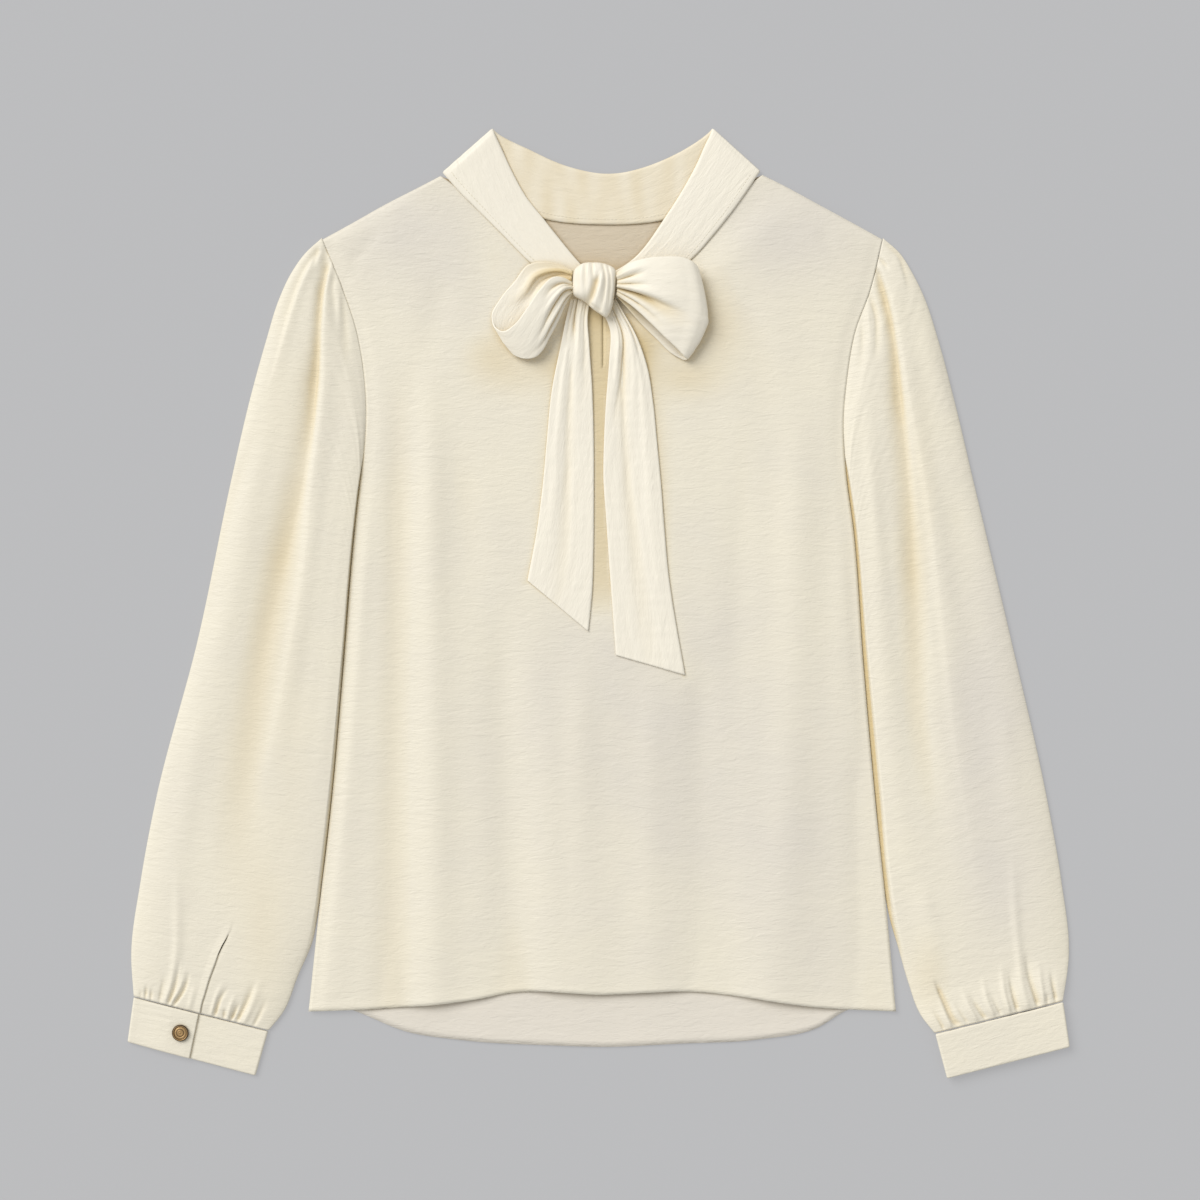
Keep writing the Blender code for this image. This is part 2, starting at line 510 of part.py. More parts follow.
def make_sleeve(side, finish):
    """A sleeve: a flattened tube, open at the armhole and at the cuff, flat underneath."""
    corners = CUFFS[side]
    seam_gap = 1.0
    foot = curve_through([
        (corners[1][0], corners[1][1] + seam_gap), (corners[0][0], corners[0][1] + seam_gap),
    ])
    inner, outer = curve_through(SLEEVE_INNERS[side]), curve_through(SLEEVE_OUTERS[side])
    surface = patch(curve_through(SLEEVE_HEADS[side]), foot, inner, outer)
    even = np.linspace(0.0, 1.0, SLEEVE_ALONG)
    along = even + 0.09 * np.sin(2 * np.pi * even) * -1.0
    width = np.linalg.norm(outer(along) - inner(along), axis=1)[:, None]
    floor = CUFF_LIFT[side] * smoothstep((along - 0.93) / 0.06)[:, None]

    def ring(inset, bottom, is_outer):
        """One closed ring for each row: the top, the outer fold, the underside, the inner fold."""
        near = inset / width
        share = np.linspace(0.0, 1.0, SLEEVE_TOP)[None, :]
        top_u = near + (1.0 - 2.0 * near) * share
        under_u = near + (1.0 - 2.0 * near) * np.linspace(1.0, 0.0, SLEEVE_UNDER)[None, :]
        fold = 0.0 if is_outer else inset - 0.5
        one, zero = 1.0 - fold / width, fold / width
        rows = np.repeat(along[:, None], SLEEVE_TOP, axis=1)
        plan = surface(top_u, rows)
        shape = np.clip(np.sin(np.pi * share), 0.0, 1.0) ** 0.45
        puff = np.interp(along, *np.array(PUFF).T)[:, None]
        folds = relief(plan[..., 0], plan[..., 1], SLEEVE_FOLDS[side])
        folds *= np.interp(along, [0.0, 0.05, 0.96, 1.0], [0.0, 1.0, 1.0, 0.0])[:, None]
        top = EDGE_TOP + (puff - EDGE_TOP) * shape + (folds + gathers(share, rows)) * shape
        top = np.clip(top, EDGE_TOP, MOST_TOP) + floor
        heights = [
            top if is_outer else np.clip(top - CLOTH, floor + CLOTH + GAP, floor + CLOTH + MOST_HOLLOW),
            floor + EDGE_TOP / 2,
            np.repeat(floor + bottom, SLEEVE_UNDER, axis=1),
            floor + EDGE_TOP / 2,
        ]
        places = [
            plan,
            surface(one, along[:, None]),
            surface(under_u, np.repeat(along[:, None], SLEEVE_UNDER, axis=1)),
            surface(zero, along[:, None]),
        ]
        return np.concatenate([np.dstack([p, h]) for p, h in zip(places, heights)], axis=1)

    outside = ring(0.9, 0.0, True)
    inside = ring(0.9 + CLOTH, CLOTH, False)
    sheets, faces = cut_down((outside, inside), SLIT_COLUMN[side], SLIT_ROWS, SLEEVE_SLIT_HALF_WIDTH)
    return make_wall(f"sleeve_{side}", *sheets, faces, finish)


def sheet_normals(points):
    """Unit normals of a grid of points, from the directions of its rows and columns."""
    normal = np.cross(np.gradient(points, axis=1), np.gradient(points, axis=0))
    return normal / np.linalg.norm(normal, axis=-1, keepdims=True)


def make_strip(name, middle, thickness, finish):
    """A wall of even thickness about a grid of middle points."""
    offset = sheet_normals(middle) * thickness / 2
    faces = grid_faces(*middle.shape[:2])
    return make_wall(name, middle + offset, middle - offset, faces, finish)


def semicircle(x, z, radius, turn):
    """Points of a fold seen from its end, from the lower layer to the upper, bulging to turn."""
    angle = np.radians([-90.0, -45.0, 0.0, 45.0, 90.0])
    return np.column_stack([x + turn * radius * np.cos(angle), z + radius * np.sin(angle)])


def make_cuff(side, finish):
    """A buttoned cuff: one flat strip wound round the wrist, its ends overlapping."""
    outer_top, inner_top, inner_foot, outer_foot = (np.array(c) for c in CUFFS[side])
    width = np.linalg.norm(inner_top - outer_top)
    layer = CUFF_CLOTH + GAP
    back, front = CUFF_CLOTH / 2, CUFF_CLOTH / 2 + layer
    radius = layer / 2
    edge = radius + CUFF_CLOTH / 2
    section = np.concatenate([
        [(0.31 * width, front), (0.65 * width, front)],
        semicircle(width - edge, back + radius, radius, 1.0)[::-1],
        [(0.5 * width, back)],
        semicircle(edge, back + radius, radius, -1.0),
        [(0.17 * width, front), (0.21 * width, front + 0.15), (0.25 * width, front + layer - 0.1)],
        [(0.29 * width, front + layer), (OVERLAP_END * width, front + layer)],
    ])
    stack = 2 * layer + CUFF_CLOTH
    lift = CUFF_LIFT[side]
    height = section[:, 1] + lift if side == "left" else lift + stack - section[:, 1]
    share = (section[:, 0] / width)[:, None, None]
    down = np.linspace(0.0, 1.0, CUFF_ALONG)[None, :, None]
    top = outer_top + share * (inner_top - outer_top)
    foot = outer_foot + share * (inner_foot - outer_foot)
    plan = top + down * (foot - top)
    middle = np.dstack([plan, np.repeat(height[:, None], CUFF_ALONG, axis=1)])
    return make_strip(f"cuff_{side}", middle, CUFF_CLOTH, finish)


def cuff_point(side, across, down):
    """A point of the cuff's plan at shares of its width and of its depth."""
    outer_top, inner_top, inner_foot, outer_foot = (np.array(c) for c in CUFFS[side])
    top = outer_top + across * (inner_top - outer_top)
    foot = outer_foot + across * (inner_foot - outer_foot)
    return top + down * (foot - top)


def make_button(side, finish):
    """A round metal button with a raised rim and a plain domed middle."""
    middle = cuff_point(side, 0.385, 0.52)
    stack = 2 * (CUFF_CLOTH + GAP) + CUFF_CLOTH
    foot = stack + GAP if side == "left" else 0.0
    # Profile from the middle of the underside to the middle of the face: (radius, height).
    profile = [
        (0.0, 0.0), (5.4, 0.0), (6.2, 0.5), (BUTTON_RADIUS, 1.2), (6.2, 2.1), (5.6, 2.5),
        (5.0, 2.3), (4.4, 1.7), (2.4, 2.0), (0.0, 2.15),
    ]
    radii, heights = np.array(profile).T
    if side == "right":
        heights = BUTTON_HEIGHT - heights[::-1]
        radii = radii[::-1]
        heights = np.where(radii > 5.5, np.maximum(heights, 0.0), heights)
    angle = np.linspace(0.0, 2 * np.pi, BUTTON_ROUND, endpoint=False)
    points = [(middle[0], middle[1], foot + heights[0])]
    for radius, height in zip(radii[1:-1], heights[1:-1]):
        ring = np.column_stack([
            middle[0] + radius * np.cos(angle), middle[1] + radius * np.sin(angle),
            np.full(BUTTON_ROUND, foot + height),
        ])
        points.extend(map(tuple, ring))
    points.append((middle[0], middle[1], foot + heights[-1]))
    return make_lathe(f"button_{side}", np.array(points), BUTTON_ROUND, finish)


def make_lathe(name, points, around, finish):
    """Close rings of points between a lowest and a highest middle point."""
    rings = (len(points) - 2) // around
    faces = (grid_faces(rings, around, wrap=True) + 1).tolist()
    last = 1 + (rings - 1) * around
    for k in range(around):
        after = (k + 1) % around
        faces.append([0, 1 + after, 1 + k])
        faces.append([len(points) - 1, last + k, last + after])
    return make_object(name, points, faces, finish)


def make_band(finish):
    """The neck band: the stand across the back, folded at both sides, and an arm down each front."""
    rows = np.array(BAND)
    across = np.linspace(0.0, 1.0, 4)[None, :, None]
    start = np.column_stack([rows[:, 0:2], rows[:, 4]])[:, None, :]
    end = np.column_stack([rows[:, 2:4], rows[:, 4]])[:, None, :]
    return make_strip("neck_band", start + across * (end - start), TIE_CLOTH, finish)


def smooth_rows(rows, count):
    """Sections read at even steps from a smooth run through the table's rows."""
    return curve_through(rows)(np.linspace(0.0, 1.0, count))


def make_loop(side, finish):
    """A loop of the bow: a strip folded back on itself, its sections bulging between its edges."""
    rows = smooth_rows(LOOPS[side], LOOP_ALONG)
    upper, middle, lower = rows[:, None, 0:3], rows[:, None, 3:6], rows[:, None, 6:9]
    t = np.linspace(0.0, 1.0, STRIP_ACROSS)[None, :, None]
    strip = (1 - t) * (1 - 2 * t) * upper + 4 * t * (1 - t) * middle + t * (2 * t - 1) * lower
    return make_strip(f"bow_loop_{side}", strip, TIE_CLOTH, finish)


def make_tail(side, finish):
    """A tail of the tie, lying on the front and cut off at a slant."""
    rows = smooth_rows(TAILS[side], TAIL_ALONG)
    t = np.linspace(0.0, 1.0, STRIP_ACROSS)[None, :, None]
    plan = rows[:, None, 0:2] + t * (rows[:, None, 2:4] - rows[:, None, 0:2])
    lift = GAP + 0.12 + TIE_CLOTH / 2 + rows[:, 4][:, None]
    height = front_top(plan[..., 0], plan[..., 1]) + lift
    return make_strip(f"tail_{side}", np.dstack([plan, height]), TIE_CLOTH, finish)


def make_knot(finish):
    """The knot: a rounded lump of gathered cloth with upright pleats."""
    outline = curve_through(KNOT_OUTLINE, closed=True)(np.linspace(0.0, 1.0, KNOT_ROUND, endpoint=False))
    middle = outline.mean(axis=0)
    points = [(*middle, KNOT_LEVELS[0][0])]
    for height, size in KNOT_LEVELS:
        ring = middle + size * (outline - middle)
        pleat = 0.5 * np.cos(0.75 * (ring[:, 0] - middle[0])) * smoothstep((height - 12.0) / 6.0)
        points.extend((x, y, height + p) for (x, y), p in zip(ring, pleat))
    points.append((*middle, KNOT_LEVELS[-1][0] + 0.3))
    return make_lathe("bow_knot", np.array(points), KNOT_ROUND, finish)


def main():
    """Build the blouse, piece by piece."""
    for old in list(bpy.data.objects):
        bpy.data.objects.remove(old)
    crepe = make_finish("cloth", (0.79, 0.74, 0.62), 0.55)
    brass = make_finish("button", (0.42, 0.29, 0.13), 0.42, 0.9)
    make_back(crepe)
    make_front(crepe)
    make_band(crepe)
    for side in ("left", "right"):
        make_sleeve(side, crepe)
        make_cuff(side, crepe)
        make_button(side, brass)
        make_loop(side, crepe)
        make_tail(side, crepe)
    make_knot(crepe)


main()
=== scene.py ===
"""Looks of a long-sleeved tie neck blouse, laid flat on its back and seen from above.

Every cloth piece is a thin closed shell worked out on a grid of two parameters, over the form of
its solid. Tables are in millimetres, in the plan of the laid garment; meshes are in metres.
"""

import logging
from collections.abc import Callable, Sequence
from dataclasses import dataclass, field
from enum import Enum

import bpy
import numpy as np
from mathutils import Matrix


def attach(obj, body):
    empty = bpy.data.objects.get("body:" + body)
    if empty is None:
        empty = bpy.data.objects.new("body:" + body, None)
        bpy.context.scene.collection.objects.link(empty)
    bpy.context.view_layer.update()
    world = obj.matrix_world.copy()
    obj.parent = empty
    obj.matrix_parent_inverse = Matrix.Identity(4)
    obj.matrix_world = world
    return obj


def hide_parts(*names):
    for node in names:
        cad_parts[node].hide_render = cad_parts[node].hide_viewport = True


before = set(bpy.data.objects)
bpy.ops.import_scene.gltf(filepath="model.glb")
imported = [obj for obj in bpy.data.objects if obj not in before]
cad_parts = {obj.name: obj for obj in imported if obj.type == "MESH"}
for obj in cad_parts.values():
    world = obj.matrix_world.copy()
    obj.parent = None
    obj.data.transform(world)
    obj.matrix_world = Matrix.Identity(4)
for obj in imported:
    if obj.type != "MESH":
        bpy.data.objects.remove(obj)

LOG = logging.getLogger("blouse")
Curve = Callable[[np.ndarray], np.ndarray]
Plan = list[tuple[float, float]]

MM = 0.001
CENTRE = (-1.4, 0.1)  # plan point that lies over the frame's origin
SHELL = 0.7  # thickness of a drawn cloth shell
SEAM_TOP = 2.9  # height of two layers lying on each other at a seam
BACK_TOP = 1.3


class Side(Enum):
    """The viewer's left or right of the laid garment."""

    LEFT = "left"
    RIGHT = "right"


class Slot(Enum):
    """Material slots of the record."""

    CLOTH = "cloth"
    BUTTON = "button"


@dataclass(frozen=True)
class Fold:
    """A soft ridge (height above 0) or trough along a path of plan points.

    left and right are its half widths on either side, looking along the path; they grow along
    it. start and end are its strengths at the ends of the path, against 1 near the start.
    """

    path: tuple[tuple[float, float], ...]
    left: float
    right: float
    height: float
    start: float = 0.0
    end: float = 0.0


def smoothstep(share: np.ndarray) -> np.ndarray:
    """Ease from 0 to 1."""
    share = np.clip(share, 0.0, 1.0)
    return share * share * (3.0 - 2.0 * share)


def curve_through(rows: Sequence[Sequence[float]] | np.ndarray, closed: bool = False) -> Curve:
    """Make a smooth curve through rows of numbers.

    The curve is a cubic Hermite spline whose slopes are the mean slopes at the rows.

    Args:
        rows: Points of any number of coordinates.
        closed: Whether the last row joins the first.

    Returns:
        A function of a share of the length, 0 to 1, that gives points.
    """
    knots = np.array(rows, dtype=float)
    if closed:
        knots = np.concatenate([knots[-2:], knots, knots[:3]])
    at = np.concatenate([[0.0], np.cumsum(np.linalg.norm(np.diff(knots, axis=0), axis=1))])
    slope = np.gradient(knots, at, axis=0)
    first, last = (at[2], at[-3]) if closed else (at[0], at[-1])
    place = np.linspace(first, last, 40 * len(knots))
    span = np.clip(np.searchsorted(at, place, side="right") - 1, 0, len(at) - 2)
    width = (at[span + 1] - at[span])[:, None]
    t = (place - at[span])[:, None] / width
    fine = (
        (2 * t**3 - 3 * t**2 + 1) * knots[span]
        + (t**3 - 2 * t**2 + t) * width * slope[span]
        + (3 * t**2 - 2 * t**3) * knots[span + 1]
        + (t**3 - t**2) * width * slope[span + 1]
    )
    run = np.concatenate([[0.0], np.cumsum(np.linalg.norm(np.diff(fine, axis=0), axis=1))])

    def follow(share: np.ndarray) -> np.ndarray:
        """Read the curve at shares of its length."""
        wanted = np.asarray(share, dtype=float) * run[-1]
        return np.stack([np.interp(wanted, run, column) for column in fine.T], axis=-1)

    return follow


def patch(head: Curve, foot: Curve, inner: Curve, outer: Curve) -> Callable[..., np.ndarray]:
    """Blend a surface between four edges: the sum of the two ruled surfaces less the corners'.

    Args:
        head: Edge across at the start of the length.
        foot: Edge across at its end.
        inner: Edge along at the start of the width.
        outer: Edge along at its end.

    Returns:
        A function of (across, along) that gives plan points.
    """

    def point(across: np.ndarray, along: np.ndarray) -> np.ndarray:
        """Read the surface at shares of its width and length."""
        a, b = across[..., None], along[..., None]
        sides = (1 - a) * inner(along) + a * outer(along)
        ends = (1 - b) * head(across) + b * foot(across)
        corners = (1 - b) * ((1 - a) * head(0.0) + a * head(1.0))
        corners = corners + b * ((1 - a) * foot(0.0) + a * foot(1.0))
        return sides + ends - corners

    return point


def relief(x: np.ndarray, y: np.ndarray, folds: Sequence[Fold]) -> np.ndarray:
    """Add up the heights of soft folds: a bell curve of the distance from each fold's path.

    Args:
        x: Plan positions.
        y: Plan positions.
        folds: The folds.

    Returns:
        Heights, in millimetres.
    """
    height = np.zeros(np.shape(x))
    for fold in folds:
        spread = 3.2 * max(fold.left, fold.right)
        points = curve_through(fold.path)(np.linspace(0.0, 1.0, 6 * len(fold.path)))
        low, high = points.min(axis=0) - spread, points.max(axis=0) + spread
        near = (x > low[0]) & (x < high[0]) & (y > low[1]) & (y < high[1])
        px, py = x[near], y[near]
        steps = np.linalg.norm(np.diff(points, axis=0), axis=1)
        before = np.concatenate([[0.0], np.cumsum(steps)])
        nearest = np.full(px.shape, np.inf)
        share, turn = np.zeros(px.shape), np.zeros(px.shape)
        for k, step in enumerate(steps):
            along = (points[k + 1] - points[k]) / step
            dx, dy = px - points[k, 0], py - points[k, 1]
            t = np.clip(dx * along[0] + dy * along[1], 0.0, step)
            away = np.hypot(dx - t * along[0], dy - t * along[1])
            closer = away < nearest
            nearest = np.where(closer, away, nearest)
            share = np.where(closer, (before[k] + t) / before[-1], share)
            turn = np.where(closer, along[0] * dy - along[1] * dx, turn)
        middle = 0.7 + 0.3 * fold.end
        strength = np.interp(share, [0.0, 0.2, 0.6, 1.0], [fold.start, 1.0, middle, fold.end])
        width = np.where(turn > 0, fold.left, fold.right) * (0.8 + 0.45 * share)
        height[near] += fold.height * strength * np.exp(-((nearest / width) ** 2))
    return height


def spots(x: np.ndarray, y: np.ndarray, rows: Sequence[Sequence[float]]) -> np.ndarray:
    """Add up soft oval spots, each a bell curve.

    Args:
        x: Plan positions.
        y: Plan positions.
        rows: For each spot its middle, its half width and height, and its amount.

    Returns:
        The sum of the spots' amounts.
    """
    total = np.zeros(np.shape(x))
    for cx, cy, wide, high, amount in rows:
        total = total + amount * np.exp(-(((x - cx) / wide) ** 2) - ((y - cy) / high) ** 2)
    return total


def ripple(x: np.ndarray, y: np.ndarray, pitch: float, seed: int) -> np.ndarray:
    """Add up slanting sine waves into an uneven crinkle whose lines run along x.

    Args:
        x: Distance along the lines, in millimetres.
        y: Distance across the lines.
        pitch: Usual distance between lines.
        seed: Seed of the waves' lengths, slants and places.

    Returns:
        Heights between about -1 and 1.
    """
    random = np.random.default_rng(seed)
    total = np.zeros(np.shape(x))
    for _ in range(9):
        across = 2 * np.pi / (pitch * random.uniform(0.7, 1.8))
        along = 2 * np.pi / (pitch * random.uniform(5.0, 14.0)) * random.choice([-1.0, 1.0])
        swell = np.sin(x / (pitch * random.uniform(2.0, 6.0)) + random.uniform(0, 6.28))
        total += np.sin(across * y + along * x + random.uniform(0, 6.28)) * (0.6 + 0.4 * swell)
    return total / 4.5


def grid_quads(rows: int, columns: int, wrap: bool = False) -> np.ndarray:
    """Number the quads of a grid whose points run row by row.

    Args:
        rows: Rows of points.
        columns: Points in a row.
        wrap: Whether the last column joins the first.

    Returns:
        An array of four point numbers a quad.
    """
    corner = np.arange(rows * columns).reshape(rows, columns)
    right = np.roll(corner, -1, axis=1) if wrap else corner[:, 1:]
    left = corner if wrap else corner[:, :-1]
    return np.stack([left[:-1], right[:-1], right[1:], left[1:]], axis=-1).reshape(-1, 4)


def sheet_normals(points: np.ndarray, wrap: bool = False) -> np.ndarray:
    """Find a grid's unit normals, as the cross product of its two directions.

    Args:
        points: Rows by columns by 3.
        wrap: Whether the columns close into a ring.

    Returns:
        Normals of the same shape.
    """
    if wrap:
        across = np.roll(points, -1, axis=1) - np.roll(points, 1, axis=1)
    else:
        across = np.gradient(points, axis=1)
    normal = np.cross(across, np.gradient(points, axis=0))
    return normal / np.maximum(np.linalg.norm(normal, axis=-1, keepdims=True), 1e-9)


def mesh_object(
    name: str, points: np.ndarray, quads: np.ndarray, uv: np.ndarray, shade: np.ndarray | None = None
) -> bpy.types.Object:
    """Put points and faces into a new smooth-shaded object.

    Args:
        name: The piece's name.
        points: Plan points, in millimetres.
        quads: Four point numbers a face; a triangle repeats none and is given as three columns.
        uv: A UV pair for each point, in metres.
        shade: Painted shade at each point, warm above 0 and cool below 0.

    Returns:
        The new object.
    """
    mesh = bpy.data.meshes.new(name)
    corners = quads.shape[1]
    moved = (points - np.array([CENTRE[0], CENTRE[1], 0.0])) * MM
    mesh.vertices.add(len(moved))
    mesh.vertices.foreach_set("co", moved.astype(np.float32).ravel())
    mesh.loops.add(quads.size)
    mesh.loops.foreach_set("vertex_index", quads.astype(np.int32).ravel())
    mesh.polygons.add(len(quads))
    mesh.polygons.foreach_set("loop_start", np.arange(0, quads.size, corners, dtype=np.int32))
    mesh.update(calc_edges=True)
    layer = mesh.uv_layers.new(name="grain")
    layer.data.foreach_set("uv", uv[quads.ravel()].astype(np.float32).ravel())
    tint = mesh.attributes.new(name="shade", type="FLOAT", domain="POINT")
    amounts = np.zeros(len(points)) if shade is None else shade
    tint.data.foreach_set("value", amounts.astype(np.float32).ravel())
    mesh.validate()
    mesh.shade_smooth()
    made = bpy.data.objects.new(name, mesh)
    bpy.context.scene.collection.objects.link(made)
    return made


def shell_object(
    name: str, upper: np.ndarray, lower: np.ndarray, uv: np.ndarray, quads: np.ndarray,
    shade: np.ndarray | None = None,
) -> bpy.types.Object:
    """Close two sheets with the same faces into a shell: each open edge gets a side between them.

    Args:
        name: The piece's name.
        upper: Outer points.
        lower: Inner points, one for each outer point.
        uv: UV pairs of the points.
        quads: The sheets' faces.
        shade: Painted shade of the points, warm above 0 and cool below 0.

    Returns:
        The new object.
    """
    upper, lower, uv = upper.reshape(-1, 3), lower.reshape(-1, 3), uv.reshape(-1, 2)
    shade = np.zeros(len(upper)) if shade is None else shade.reshape(-1)
    keys = np.round(np.concatenate([upper, lower], axis=1), 4)
    _, first, index = np.unique(keys, axis=0, return_index=True, return_inverse=True)
    upper, lower, uv, quads = upper[first], lower[first], uv[first], index.reshape(-1)[quads]
    shade = shade[first]
    count = len(upper)
    edges = np.concatenate([quads[:, [k, (k + 1) % 4]] for k in range(4)])
    there = edges[:, 0] * count + edges[:, 1]
    rim = edges[~np.isin(edges[:, 1] * count + edges[:, 0], there)]
    sides = np.stack([rim[:, 1], rim[:, 0], rim[:, 0] + count, rim[:, 1] + count], axis=1)
    faces = np.concatenate([quads, quads[:, ::-1] + count, sides])
    points = np.concatenate([upper, lower])
    corners = points[faces]
    first_half = np.cross(corners[:, 1], corners[:, 2])
    second_half = np.cross(corners[:, 2], corners[:, 3])
    if np.einsum("ij,ij->", corners[:, 0], first_half + second_half) < 0:
        faces = faces[:, ::-1]
    return mesh_object(
        name, points, faces, np.concatenate([uv, uv]), np.concatenate([shade, shade])
    )


def half_area(piece: bpy.types.Object) -> float:
    """Return half the surface of a closed shell in square metres, which is its sheet's area."""
    areas = np.empty(len(piece.data.polygons))
    piece.data.polygons.foreach_get("area", areas)
    return float(areas.sum() / 2)


def dress(piece: bpy.types.Object, node: str, finish: bpy.types.Material) -> None:
    """Give a piece its finish, hang it under the root body, and hide the CAD node that it stands for.

    Args:
        piece: The new piece.
        node: The CAD node that it replaces, or an empty string.
        finish: Its material.
    """
    piece.data.materials.append(finish)
    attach(piece, "root")
    if node:
        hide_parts(node)
    LOG.info("%s: %d faces", piece.name, len(piece.data.polygons))


def lay_sheet(
    piece: bpy.types.Object, flat: tuple[float, float]
) -> None:
    """Work out a piece's sheet area, the smaller of its shell's half surface and its cut size; nothing
    uses it.

    Args:
        piece: The shell.
        flat: Width and length that it was cut to, in metres.
    """
    area = min(half_area(piece), flat[0] * flat[1])


class Nodes:
    """A material's node tree, with short ways to add and join nodes."""

    def __init__(self, name: str) -> None:
        """Start a material that holds only its Principled shader."""
        self.material = bpy.data.materials.new(name)
        self.material.use_nodes = True
        self.tree = self.material.node_tree
        self.shader = self.tree.nodes["Principled BSDF"]

    def add(self, kind: str, **values: object) -> bpy.types.Node:
        """Add a node.

        Args:
            kind: Blender's name of the node type.
            values: Properties of the node, or defaults of its inputs by name.

        Returns:
            The node.
        """
        node = self.tree.nodes.new(kind)
        for name, value in values.items():
            if hasattr(node, name):
                setattr(node, name, value)
            else:
                node.inputs[name.replace("_", " ")].default_value = value
        return node

    def join(self, start: bpy.types.NodeSocket, end: bpy.types.NodeSocket) -> None:
        """Link two sockets."""
        self.tree.links.new(start, end)


